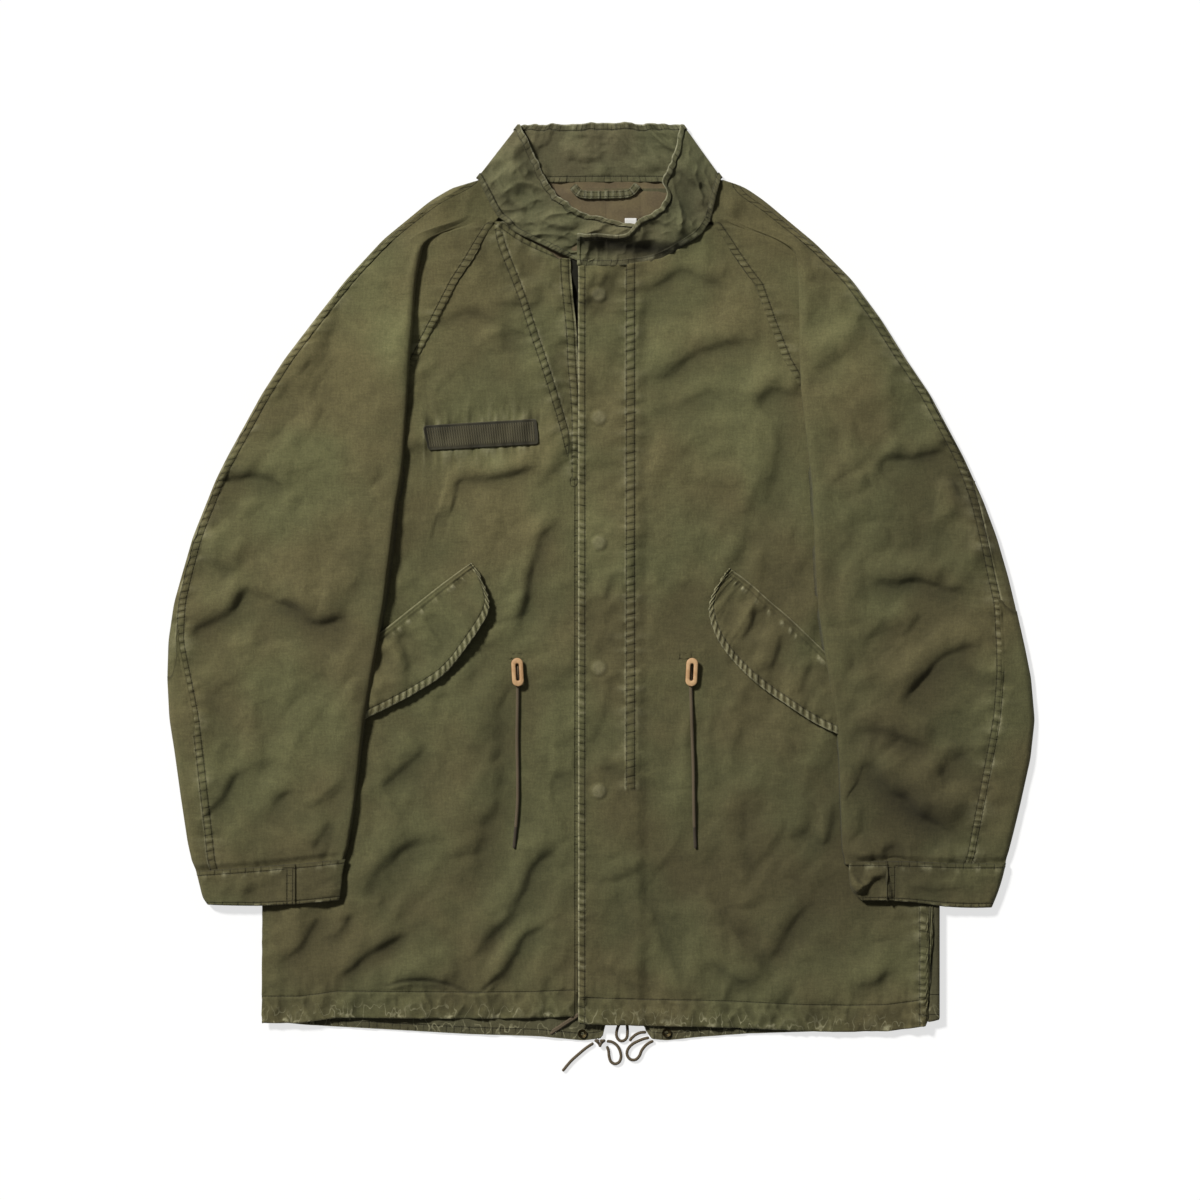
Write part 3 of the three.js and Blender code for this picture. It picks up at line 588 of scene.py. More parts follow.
def label_material():
    g = Graph("label_satin", Roughness=0.6, Sheen_Weight=0.1)
    weave = g.ramp(g.mottle(1.0, 2, 0.6), 0.2, 0.8, 0.92, 1.0)
    ribs = g.ribs(0.6, "Y", g.place, {"Detail": 1.0, "Detail Scale": 2.0})
    return g.finish(g.scaled(rgb(226, 225, 220), weave), ribs, 0.1)


def leather_material():
    g = Graph("natural_leather", Roughness=0.55, Specular_IOR_Level=0.4)
    grain = g.mottle(1.1, 4, 0.7)
    stain = g.ramp(g.mottle(9, 3), 0.35, 0.65)
    colour = g.mix(stain, rgb(196, 160, 116), rgb(178, 140, 98))
    colour = g.mix(g.ramp(g.attribute("edge"), 1.2, 0.1, 0.0, 0.6), colour, rgb(120, 84, 54))
    return g.finish(colour, grain, 0.25)


def braid_material():
    g = Graph("braided_cord", Roughness=0.8, Sheen_Weight=0.15, Specular_IOR_Level=0.3)
    strand, tone = g.attribute("strand"), g.attribute("tone")
    colour = g.mix(strand, rgb(46, 39, 29), rgb(92, 80, 60))
    fibre = g.ramp(g.mottle(0.7, 3, 0.7), 0.2, 0.8, 0.85, 1.15)
    return g.finish(g.scaled(colour, g.math("MULTIPLY", fibre, tone)), g.mottle(0.8, 3), 0.15)


def brass_material():
    g = Graph("aged_brass", Metallic=0.9, Roughness=0.42)
    stain = g.ramp(g.mottle(3, 4, 0.7), 0.3, 0.7)
    colour = g.mix(stain, rgb(112, 98, 62), rgb(66, 58, 42))
    g.put(g.shader.inputs["Roughness"], g.ramp(stain, 0.0, 1.0, 0.35, 0.6))
    return g.finish(colour, g.mottle(1.5, 3), 0.05)


lining = lining_material()
webbing = webbing_material()
label_cloth = label_material()
leather = leather_material()
braid = braid_material()
brass = brass_material()
FLOOR_REACH = 4.0  # metres
FLOOR_LEVEL = -0.0004


def make_floor():
    """A pale table that stays bright, and darkens softly where the parka shades it."""
    mesh = bpy.data.meshes.new("floor")
    corners = [(x * FLOOR_REACH, y * FLOOR_REACH, FLOOR_LEVEL)
               for x, y in ((-1, -1), (1, -1), (1, 1), (-1, 1))]
    mesh.from_pydata(corners, [], [(0, 1, 2, 3)])
    material = bpy.data.materials.new("floor")
    material.use_nodes = True
    shader = material.node_tree.nodes["Principled BSDF"]
    finish = {"Base Color": (0.32, 0.32, 0.32, 1), "Roughness": 1.0, "Specular IOR Level": 0.0,
              "Emission Color": (1, 1, 0.995, 1), "Emission Strength": 0.69}
    for key, value in finish.items():
        shader.inputs[key].default_value = value
    mesh.materials.append(material)
    floor = bpy.data.objects.new("floor", mesh)
    scene.collection.objects.link(floor)


make_floor()

# Creases ----------------------------------------------------------------------------------------
# Width of the shaded side, how steep it is in twelfths, and points along it, from the light's side
FOLDS_SLEEVE_RIGHT = [
    (12, 3, [(-370, 98), (-335, 102), (-290, 88)]),
    (13, 2, [(-390, 40), (-370, 20), (-345, 8)]),
    (11, 3, [(-400, -50), (-370, -36), (-352, -24), (-332, 2)]),
    (12, 3.2, [(-325, -18), (-295, -24), (-270, -38), (-236, -30)]),
    (18, 1.2, [(-342, -18), (-330, -42), (-324, -68)]),
    (8, 1, [(-335, -105), (-325, -160), (-330, -190)]),
    (11, 2.6, [(-346, -172), (-360, -198), (-382, -230)]),
    (9, 2, [(-255, -225), (-268, -245), (-280, -260)]),
    (13, 1.4, [(-300, -195), (-324, -236)]),
    (16, 1, [(-385, -100), (-372, -128), (-370, -155)]),
    (26, 1.2, [(-240, 300), (-290, 155)]),
    (13, 0.9, [(-384, 62), (-358, 84)]),
]
FOLDS_FRONT_RIGHT = [
    (8, 2.5, [(-170, 238), (-145, 252), (-120, 258), (-95, 250)]),
    (6, 1.4, [(-108, 266), (-82, 269), (-56, 262)]),
    (13, 1.6, [(-90, 245), (-95, 216)]),
    (11, 1.4, [(-50, 232), (-40, 175), (-30, 128)]),
    (11, 1.5, [(-195, 127), (-158, 130)]),
    (7, 3, [(-145, 78), (-138, 95), (-115, 100), (-85, 105), (-54, 116)]),
    (13, 1.4, [(-158, 70), (-142, 66)]),
    (9, 3, [(-30, 65), (-55, 40), (-64, 10), (-85, -55)]),
    (11, 2.2, [(-215, -195), (-190, -180), (-164, -154)]),
    (18, 1.5, [(-96, -75), (-102, -190), (-126, -305)]),
    (12, 1.8, [(-230, -310), (-212, -276), (-168, -240)]),
    (11, 3, [(-22, -250), (-54, -262), (-72, -284), (-92, -324), (-135, -368)]),
    (9, 2.6, [(-48, -326), (-75, -344), (-96, -376), (-118, -392)]),
    (7, 2, [(-135, -389), (-168, -382), (-204, -384)]),
    (9, 2.4, [(-180, -336), (-214, -352), (-260, -386)]),
    (9, 2.4, [(-268, -314), (-284, -344), (-314, -375)]),
    (7, 2, [(-236, -318), (-256, -338), (-272, -341)]),
    (11, 1.4, [(-50, -185), (-22, -184)]),
]
FOLDS_FRONT_LEFT = [
    (8, 2, [(34, 276), (58, 289), (85, 297), (130, 280)]),
    (13, 1.9, [(36, 190), (70, 206), (114, 227), (158, 230)]),
    (11, 1.3, [(36, 156), (64, 168), (138, 188)]),
    (12, 2.4, [(148, 164), (166, 182), (192, 177)]),
    (14, 1.2, [(178, 175), (172, 128), (152, 60)]),
    (8, 1, [(48, 12), (85, -26)]),
    (9, 2, [(200, -228), (214, -248), (226, -208)]),
    (10, 1.1, [(138, -190), (141, -305)]),
    (11, 2, [(95, -286), (124, -325), (152, -362), (168, -392)]),
    (9, 2, [(210, -305), (190, -320), (160, -368)]),
    (8, 1.6, [(37, -276), (57, -334), (85, -402)]),
    (7, 1.4, [(0, -362), (18, -377), (42, -392)]),
    (8, 1.6, [(95, -358), (124, -377), (154, -386)]),
    (9, 1.6, [(234, -389), (263, -382), (292, -367)]),
    (9, 1.4, [(-5, -182), (16, -178), (30, -190)]),
    (6, 2, [(13, 12), (3, -20)]),
    (6, 1.6, [(-7, -71), (4, -60), (13, -42)]),
    (7, 2.6, [(-19, 262), (-8, 274), (2, 288), (10, 302)]),
    (6, 1.8, [(-14, 248), (2, 268), (12, 284), (18, 302)]),
    (5, 1.6, [(-19, 278), (-10, 288), (-3, 300)]),
]
FOLDS_SLEEVE_LEFT = [
    (9, 3, [(266, 125), (292, 120), (338, 125)]),
    (13, 3, [(306, 94), (325, 101), (345, 86), (366, 62), (383, 12)]),
    (11, 3, [(248, 7), (277, 0), (300, 2), (325, -8), (360, -7)]),
    (26, 1.4, [(240, 270), (298, 175)]),
    (12, 3.3, [(370, -52), (330, -75), (282, -118)]),
    (10, 2, [(330, -78), (350, -82), (384, -104)]),
    (11, 2.5, [(244, -142), (270, -140), (306, -156), (322, -162)]),
    (8, 2, [(352, -160), (335, -175), (320, -190)]),
    (17, 3.8, [(240, -170), (258, -176), (276, -198), (340, -246)]),
    (7, 2, [(266, -257), (292, -250)]),
    (14, 0.9, [(268, -34), (292, -55)]),
]
STEEPNESS = 0.21
# How much each crease's painted shade darkens the cloth's tone
PAINTED_FOLD_SHADE = 0.27
# Places where the hem is frayed
FRAYED = (-303, -253, -196, -146, -101, -51, 61, 105, 164, 214, 276)


def creases_near(x, y, folds, reach, fading):
    """For each crease near enough: its number, half width and steepness, the places near it, the
    distance from it (positive on its shaded side), the length along it, and how far it has faded."""
    for k, (width, steep, points) in enumerate(folds):
        line = smooth_line(points, 7)
        half = 0.62 * width
        low, high = line.min(0) - reach * half, line.max(0) + reach * half
        near = (x > low[0]) & (x < high[0]) & (y > low[1]) & (y < high[1])
        if not near.any():
            continue
        d, s, length = along_line(x[near], y[near], line)
        d = d if (line[-1] - line[0]).sum() >= 0 else -d
        ends = fading * length
        yield k, half, steep, near, d, s, smoothstep(s, 0, ends) * smoothstep(length - s, 0, ends)


def fold_relief(x, y, folds):
    """Creases: each has a lit rise, a shaded fall as wide as stated, and fades out at its ends."""
    z = np.zeros_like(x)
    for k, half, steep, near, d, s, fade in creases_near(x, y, folds, 7, 0.25):
        d = d + half * 0.4 * wave(s, 24, 300 + k)
        height = steep * STEEPNESS * half * fade * (1 + 0.3 * wave(s, 23, 500 + k))
        core = d / max(0.55 * half, 2.0)
        broad = d / (1.8 * half)
        shape = broad * np.exp(0.5 - 0.5 * broad ** 2) + 0.17 * core * np.exp(0.5 - 0.5 * core ** 2)
        z[near] -= height * shape
    return z


def fold_shade(x, y, folds):
    """Share by which each crease is painted darker on its falling side, as shade."""
    shade = np.zeros_like(x)
    for _, half, steep, near, d, _, fade in creases_near(x, y, folds, 4, 0.3):
        shade[near] += min(steep / 3.2, 1) * fade * bell(d - 0.3 * half, 1.25 * half)
    return np.clip(shade, 0, 1.2)


def rung_phase(d, s, seed):
    """Place along a seam, a little uneven, so that each hollow falls on a whole pitch."""
    return s + 0.2 * d + 3.6 * wave(s, 21, seed)


def ripples(d, s, seed):
    """Puckers along a seam, from 0 in a hollow to 1 on a crest."""
    return 0.5 - 0.5 * np.cos(2 * math.pi * rung_phase(d, s, seed) / PUCKER_PITCH)


def pucker(d, s, seed, half=SEAM_HALF, rise=1.0, lit=-1):
    """A felled band between two stitch rows: its relief, and its wear and painted shade (below 0 in the
    hollows, painted dark as shade).

    `lit` is the side, -1 or 1 along d, where the folded edge of the band is worn pale.
    """
    bumps = ripples(d, s, seed) * (0.7 + 0.45 * wave(s, 13, seed + 1))
    away = np.abs(d)
    band = 1 - smoothstep(away, half - 0.6, half + 0.8)
    beyond = np.exp(-np.maximum(away - half, 0) / 6.5)
    rays = noise(s * 3.4, away, 24, seed + 2) + 0.5 * noise(s * 6, away, 24, seed + 5)
    z = band * (0.4 + rise * bumps * (1 - 0.5 * (d / half) ** 2)) + (1 - band) * 1.1 * rays * beyond
    z = z - 0.6 * bell(away - half, 1.0)
    worn = 0.5 * band * smoothstep(bumps, 0.45, 0.9) * (0.7 + 0.3 * wave(s, 31, seed + 3))
    worn = worn + (0.55 + 0.25 * wave(s, 9, seed + 4)) * bell(d - lit * (half + 0.9), 0.8)
    # Painted shade in the hollows between puckers and in the low rays beside the band; the raised rays
    # are worn paler
    hollow_shade = 0.5 * band * smoothstep(bumps, 0.38, 0.1) + (1 - band) * beyond * (
        0.7 * np.maximum(-rays, 0) - 0.4 * np.maximum(rays, 0))
    return z, np.clip(worn - hollow_shade, -1, 1)


def looks(tone, wear_and_shade, run, seam=FAR, edge=FAR, hem=FAR):
    """Values that the twill reads at each point: distances from stitched places, run along them,
    wear and painted shade, from -1 in a hollow painted dark as shade to 1 where it is worn pale, and
    tone, a share of its colour that also holds painted shade."""
    return {"tone": tone, "wear_and_shade": np.clip(wear_and_shade, -1, 1), "run": run, "seam": seam, "edge": edge,
            "hem": hem}


class Relief:
    """Height, wear and painted shade, and stitch rows gathered over a grid of places."""

    def __init__(self, z, wear_and_shade, run):
        self.z, self.wear_and_shade, self.run = z, wear_and_shade, run
        self.seam = np.full(z.shape, FAR)

    def add(self, z, wear_and_shade=0.0, share=1.0):
        self.z = self.z + z * share
        self.wear_and_shade = self.wear_and_shade + wear_and_shade * share

    def band(self, d, s, seed, share, near, half=SEAM_HALF, near_run=None, **look):
        """A felled band: its puckers by `share`, its stitch rows where `near`, and its run."""
        self.add(*pucker(d, s, seed, half, **look), share)
        self.seam = np.where(near, np.abs(d) * SEAM_HALF / half, self.seam)
        near_run = near if near_run is None else near_run
        self.run = np.where(near_run, rung_phase(d, s, seed), self.run)


def gathers(s, d, seed, reach, rise, cell=9.0):
    """Irregular gathers that stand across an edge and fade over `reach` from it."""
    folds = noise(s, d * 0.22, cell, seed) + 0.6 * noise(s, d * 0.3, cell * 0.45, seed + 1)
    return rise * folds * np.exp(-np.maximum(d, 0) / reach)


# Soft patches where the cloth is made lighter or darker, partly uneven dye and partly painted light and
# shade: their place, reach and share of light
TONES = [
    (-150, 190, 70, 0.92), (-120, -70, 110, 0.88), (-200, -300, 150, 0.76), (-60, 300, 60, 1.00),
    (120, 240, 90, 1.12), (30, 60, 90, 1.06), (150, -290, 150, 0.68), (20, -300, 90, 0.90),
    (-290, 100, 100, 1.06), (320, 60, 110, 0.72), (320, -170, 110, 0.70), (-250, 230, 75, 1.40),
    (-85, 90, 70, 1.24), (150, -40, 90, 0.82), (88, 368, 36, 0.70), (250, 220, 70, 1.10),
    (-160, 250, 42, 1.32), (270, -320, 90, 0.84), (-300, -290, 50, 0.92), (320, -290, 50, 0.88),
    (262, -186, 16, 0.84), (290, -204, 20, 0.68), (312, -220, 20, 0.70), (334, -234, 16, 0.80),
    (258, -142, 14, 0.86), (286, -150, 14, 0.86), (-298, -31, 20, 0.84), (-262, -42, 20, 0.84),
]


def tone_at(x, y):
    tone = np.ones_like(x)
    for px, py, reach, share in TONES:
        tone = tone * (1 + (share - 1) * np.exp(-((x - px) ** 2 + (y - py) ** 2) / reach ** 2))
    return tone * (1 + 0.05 * noise(x, y, 45, 71) + 0.03 * noise(x, y, 14, 72))


# The fronts -------------------------------------------------------------------------------------
CLOTH = 1.4
CELL = 1.85
SIDE_SEAM = 310.5
SLIT = (81.0, -71.0)
SIDE = 325.0
FLY_EDGE = -21.5
FLY_ROWS = (24.5, 32.5)
FLY_END = -199.0
FLY_MIDDLE = (FLY_ROWS[0] + FLY_ROWS[1]) / 2
FLY_HALF = (FLY_ROWS[1] - FLY_ROWS[0]) / 2
TAPE_CENTRE = (-115, 141.5)
TAPE_SLOPE = 0.055
SNAP_X = -2.0
SNAP_Y = (276, 158, 38, -82, -200)
SNAP_COUNT = 6
NECK_SEAM = [(-99.8, 353), (-95, 325), (-77, 278), (-63.5, 237), (-52, 203), (-37.5, 156),
             (-30, 127), (-25.5, 112), (-26, 95)]
NECK_BAND = [(-101, 347), (-80, 332), (-60, 321.5), (-41, 313.5), (-31, 309)]
HEM_CREASE = [(-212, -389), (-190, -383), (-168, -382), (-150, -385), (-120, -394), (-97, -377)]


def sleeve_fold(y, side):
    return np.interp(y, SLEEVES[side]["y"], SLEEVES[side]["fold"])


def base_level(x, y):
    """Top of the fronts without creases, below the sleeves."""
    a = np.abs(x)
    level = 4.5 + 0.4 * noise(x, y, 120, 11)
    near_arm = bell(np.hypot(a - 303, y - 98), 60)
    return level - 0.8 * near_arm


def calm(x, y):
    """1 on open cloth, less where a tape or a keeper holds it flat."""
    keeper_near = bell(np.hypot(np.abs(x) - 83, y + 86), 24)
    tape_near = bell(np.maximum(np.abs(x + 115) - 48, 0), 14) * bell(y - 141, 20)
    return 1 - 0.8 * np.clip(keeper_near + tape_near, 0, 1)


def inner_edge(y):
    """Inner edge of the right front, which swings clear of the fly below the collar."""
    return -18.5 - 4.5 * smoothstep(y, 150, 228) - 6.3 * smoothstep(y, 222, 308)


def hem_drop(above_hem):
    return 1.3 * np.exp(-np.maximum(above_hem, 0) / 22)


def hem_arches(x, up):
    """Small ridges that the drawcord gathers into its channel, worn pale along their crests and painted
    darker as shade in the hollows between them.
    """
    across = noise(x + 0.35 * up, up * 0.5, 10, 61) + 0.35 * noise(x, up * 0.6, 5, 62)
    crest = bell(across, 0.13)
    z = 2.3 * (0.35 - soft_abs(across)) + 0.3 * crest
    low_down = lerp(0.25, 1, smoothstep(up, 17, 5))
    return z, 0.22 * crest * low_down - 0.4 * smoothstep(np.abs(across), 0.35, 0.8)


class Front:
    """One front panel: its outline from the frame and its relief."""

    def __init__(self, side, x_from, x_to):
        self.side = side
        self.node = f"front_{side}"
        self.folds = FOLDS_FRONT_RIGHT if side == "right" else FOLDS_FRONT_LEFT
        self.seed = 20 if side == "right" else 40
        reach = np.arange(-326, 327, 1.0)
        low, high = Outline(self.node).span(np.clip(reach, x_from, x_to), 0)
        self.x, self.low, self.high = reach, softened(low, 5), softened(high, 3)

    def hem(self, x):
        return np.interp(x, self.x, self.low)

    def top(self, x):
        return np.interp(x, self.x, self.high)

    def covered(self, x, y):
        """1 where the sleeve lies on it."""
        inside = smoothstep(np.abs(x) - sleeve_fold(y, self.side), 22, 50)
        return inside * smoothstep(y, -292, -270)

    def relief(self, x, y):
        """Relief of the top above its level."""
        up = y - self.hem(x)
        z = fold_relief(x, y, self.folds) + 1.35 * crumple(x, y, self.seed) * calm(x, y)
        z = settled(z, 2.2) * (1 - self.covered(x, y))
        out = Relief(z, np.zeros_like(x), np.where(up < 45, x, y))
        self.hem_channel(out, x, up)
        self.slit(out, x, y)
        if self.side == "right":
            self.tape_tension(out, x, y)
            self.neck_seams(out, x, y)
            self.hem_crease(out, x, y)
            self.placket(out, x, y)
        else:
            self.fly(out, x, y)
            self.side_seam(out, x, y)
        out.wear_and_shade = np.clip(out.wear_and_shade, -1, 1)
        return out

    @staticmethod
    def hem_channel(out, x, up):
        """Raised, gathered by its cord, frayed in places, a stitch row along its top."""
        channel = 1 - smoothstep(up, HEM_ROW - 1.5, HEM_ROW + 1)
        arches, arch_wear_and_shade = hem_arches(x, up)
        out.add(channel * (0.7 + arches) - 0.8 * bell(up - HEM_ROW, 1.2), channel * arch_wear_and_shade)
        out.add((1 - channel) * gathers(x, up - HEM_ROW, 63, 12, 1.3))
        ragged = bell(up - 2, 2.6) * smoothstep(noise(x, up, 3, 66), -0.4, 0.2)
        for place in FRAYED:
            out.wear_and_shade = out.wear_and_shade + 2.2 * bell(x - place, 4.5) * ragged

    @staticmethod
    def slit(out, x, y):
        """A stitched slit, where the waist cord comes out."""
        gap = np.abs(np.maximum(np.abs(np.abs(x) - SLIT[0]) - 5.6, np.abs(y - SLIT[1]) - 2.4))
        out.add(-0.5 * bell(gap, 0.9))
        out.seam = np.where(gap < 3, gap + SEAM_HALF, out.seam)

    @staticmethod
    def tape_tension(out, x, y):
        """A square round the name tape, gathered in by its stitches; its ridges worn pale and its hollows
        painted dark as shade.
        """
        across, middle = x - TAPE_CENTRE[0], TAPE_CENTRE[1]
        from_tape = np.maximum(np.abs(across) - 55, np.abs(y - middle - TAPE_SLOPE * across) - 12.5)
        rays = noise(x, y * 0.2, 5, 64) + 0.7 * noise(x, y * 0.2, 3.4, 65)
        near_tape = np.exp(-np.maximum(from_tape - 2, 0) / 7) * (np.abs(across) < 56)
        out.add(1.5 * rays, 0.5 * np.maximum(rays, 0) - 0.9 * np.maximum(-rays, 0), near_tape)

    @staticmethod
    def neck_seams(out, x, y):
        """The long seam down from the neck, and the narrow band along the collar's seam."""
        d, s, length = along_line(x, y, smooth_line(NECK_SEAM, 6))
        fade = smoothstep(s, -1, 4) * smoothstep(length - s, -1, 10)
        out.band(-d, s, 81, fade, np.abs(d) < 12, rise=1.1, lit=1)
        d, s, length = along_line(x, y, smooth_line(NECK_BAND, 6))
        fade = smoothstep(s, -1, 2) * smoothstep(length - s, -2, 1)
        near = (np.abs(d) < 5.5) & (s > 0.5) & (s < length)
        out.band(-d, s, 83, fade, near, 2.5, rise=0.7, lit=1)

    @staticmethod
    def hem_crease(out, x, y):
        d, s, length = along_line(x, y, smooth_line(HEM_CREASE, 4))
        fade = smoothstep(s, 0, 15) * smoothstep(length - s, 0, 15)
        # A crease above the hem, with painted shade along its hollow
        out.add(-1.3 * bell(d, 1.8) + 0.8 * bell(d - 3, 2.5), -0.9 * bell(d, 1.4), fade)

    @staticmethod
    def placket(out, x, y):
        """The stitched inner edge, above the crossing of the fronts."""
        edge = inner_edge(y) - x
        near = (edge < 12) & (y > 100)
        out.band(5.4 - edge, y, 97, smoothstep(y, 96, 112), near, 3.6, rise=0.9)

    @classmethod
    def fly(cls, out, x, y):
        """Its two stitch rows, its turned edge and the snaps that show through it."""
        d, edge = x - FLY_MIDDLE, x - FLY_EDGE
        near = np.abs(d) < 12
        stitched = smoothstep(y, FLY_END - 2, FLY_END + 2)
        out.band(d, -y, 91, stitched, near & (y > FLY_END), FLY_HALF, near, rise=0.8)
        out.add(*cls.welt(edge, y, 95))
        out.run = np.where(edge < 12, rung_phase(edge, y, 95), out.run)
        for snap_y in SNAP_Y:
            r = np.hypot(x - SNAP_X, y - snap_y)
            out.add(1.3 * (1 - smoothstep(r, 4.5, 8.5)) - 0.5 * bell(r - 9, 1.6),
                    0.3 * (1 - smoothstep(r, 5, 8)))

    @staticmethod
    def side_seam(out, x, y):
        """Where the front meets the back, below the sleeve."""
        d = x - SIDE_SEAM
        near = np.abs(d) < 12
        out.band(d, y, 98, smoothstep(-y, 255, 262), near & (y < -258), 4.6, near, rise=0.9)

    @staticmethod
    def welt(e, y, seed):
        """A turned edge, puckered between the rim and its stitch row at distance `e`; crests of its
        ripples are worn pale, and their hollows and the low rays beyond are painted dark as shade.
        """
        band = 1 - smoothstep(e, EDGE_ROW - 0.8, EDGE_ROW + 0.6)
        ripple = ripples(e, y, seed) * (0.75 + 0.4 * wave(y, 17, seed + 1))
        rays = noise(y * 3, e, 24, seed + 2) + 0.5 * noise(y * 6, e, 24, seed + 3)
        beyond = (1 - band) * np.exp(-np.maximum(e - EDGE_ROW, 0) / 5)
        z = band * (0.3 + 0.9 * ripple) + 0.7 * rays * beyond - 0.6 * bell(e - EDGE_ROW, 1.0)
        worn = band * (0.45 * smoothstep(ripple, 0.5, 0.95) - 0.4 * smoothstep(ripple, 0.35, 0.1))
        return z, worn - 0.45 * beyond * np.maximum(-rays, 0)

    def level(self, x, y):
        z = base_level(x, y) + 2.0 * (1 - self.covered(x, y)) - hem_drop(y - self.hem(x))
        if self.side == "right":
            side_drop = smoothstep(-x, SIDE - 14, SIDE) * 2.1
            z = z + 3.6 * smoothstep(-x, 225, 290) * np.exp(-(y - self.hem(x)) / 45)
            under_fly = smoothstep(x, -48, -30)
            snap_dome = 1.1 * (1 - smoothstep(np.hypot(x + 46, y - 285), 4.5, 9))
            return z - side_drop - 0.5 * under_fly + snap_dome
        fly = 2.5 * (1 - smoothstep(x, FLY_ROWS[1] + 1, FLY_ROWS[1] + 13))
        side_rise = 2.4 * smoothstep(x, 285, 308) * smoothstep(-y, 270, 300)
        return z + fly + side_rise

    def surface(self, x, y):
        """Top of the cloth at any place."""
        return self.level(x, y) + self.relief(x, y).z

    def softened_surface(self, x, y, reach=3):
        """Top of the cloth as a piece that lies on it takes it up."""
        return self.level(x, y) + softened_grid(self.relief(x, y).z, reach)

    def places(self, x_from, x_to):
        """Grid of places of its piece, and their distance from its inner edge."""
        columns = np.linspace(x_from, x_to, int(abs(x_to - x_from) / CELL))
        share = np.linspace(0, 1, 425)
        x = np.broadcast_to(columns, (len(share), len(columns))).copy()
        y = lerp(self.hem(columns), self.top(columns), share[:, None])
        if self.side == "left":
            return x, y, x - x_from
        x = x + (inner_edge(y) - x_to) * smoothstep(x, -92, x_to)
        edge = inner_edge(y) - x
        return x, y, np.where((y > 100) & (edge >= 2), FAR, edge)

    def piece(self, x_from, x_to, flat, area):
        x, y, edge = self.places(x_from, x_to)
        relief = self.relief(x, y)
        up = y - y[0]
        # Tone: lighter where the cloth stands up and darker in its hollows, partly wear and partly
        # painted shade; darker towards the hem; painted shade in its creases
        tone = (tone_at(x, y) * (1 + 0.04 * np.clip(relief.z, -2, 2))
                * (1 - 0.09 * smoothstep(up, 60, 26))
                * (1 - PAINTED_FOLD_SHADE * fold_shade(x, y, self.folds)))
        values = looks(tone, relief.wear_and_shade, relief.run, relief.seam, edge, up)
        points = np.stack([x, y, self.level(x, y) + relief.z], -1)
        piece = shell(f"cloth_{self.node}", points, CLOTH, cloth, values, tuck=8)
        stands_for(piece, [self.node], "twill_top", flat=flat, held="laid", rests_on=["back_panel"],
                   area=area)


# Sleeves ----------------------------------------------------------------------------------------
SLEEVE_END = -266.0
OVER_BODY = 6.9  # lower layer of a sleeve where it lies on the front
RIM = 9.6
# Round the roll: how far out from the fold, and the share of the roll's height
ROLL_POINTS = ((5, 0), (1.2, 0.17), (0, 0.5), (1.4, 0.83), (5.5, 1))
TOP_SHARES = (0.1, 0.22, 0.36, 0.52, 0.68, 0.84, 1.0)
OUTER_INDEX = 16  # number of the control point on the outer seam, where the two layers meet


def sleeve_table(side):
    """Outline of a sleeve from the frame, by height: raglan seam, fold, outer seam, silhouette."""
    y = np.arange(SLEEVE_END - 12, 386.5, CELL)
    sign = -1 if side == "right" else 1
    first = int(np.searchsorted(y, SLEEVE_END + 18))

    def reach(node, above=-1e9, below=1e9):
        low, high = Outline(node).span(y, 1, above, below)
        return (low, high) if sign > 0 else (-high, -low)

    def straight(values):
        """Carries the outline on below the slanting end of the frame's sleeve."""
        slope = (values[first + 16] - values[first]) / (y[first + 16] - y[first])
        return np.where(y < y[first], values[first] + slope * (y - y[first]), values)

    front = f"sleeve_{side}_front"
    seam = reach(front, below=5.6)[0]
    fold = straight(reach(front, above=8.2)[0])
    outer_seam = straight(reach(front)[1])
    edge = reach(f"sleeve_{side}_back")[1]
    body = reach("back_panel")[1]
    look = {"folds": FOLDS_SLEEVE_RIGHT, "seed": 120, "seam_seed": 151} if side == "right" else {
        "folds": FOLDS_SLEEVE_LEFT, "seed": 140, "seam_seed": 161}
    return {"sign": sign, "y": y, "seam": seam, "fold": softened(fold, 8), "body": body,
            "outer_seam": softened(outer_seam, 8), "edge": softened(edge, 4), **look}


SLEEVES = {side: sleeve_table(side) for side in ("right", "left")}


def top_profile(f):
    """Share of the roll's height across the top of a sleeve, from its fold to its outer edge."""
    return 1 - smoothstep(f, -0.12, 1.05)


def sleeve_levels(t):
    """Values by row of a sleeve that its sections are built from."""
    y, edge = t["y"], t["edge"]
    hooked = smoothstep(y, 100, 116)
    neckward = smoothstep(y, 348, 358)  # from here up its edge lies under the collar
    shoulder = smoothstep(y, 316, 352)  # towards the neck the sleeve lies flat, without a fold
    seam = lerp(303.0, lerp(t["seam"], np.interp(y, [350, 387], [95, 103]), neckward), hooked)
    valley = np.clip(np.maximum(seam + 7, t["fold"] + 34), 0, edge - 14)
    valley = np.minimum(valley, lerp(400, 312, smoothstep(y, 90, 130)))
    roll = lerp(t["roll"], 1.2, shoulder)
    over = lerp(OVER_BODY, 5.6, shoulder)
    fold = lerp(t["fold"], valley - 1, shoulder)
    return hooked, shoulder, seam, valley, roll, over, fold


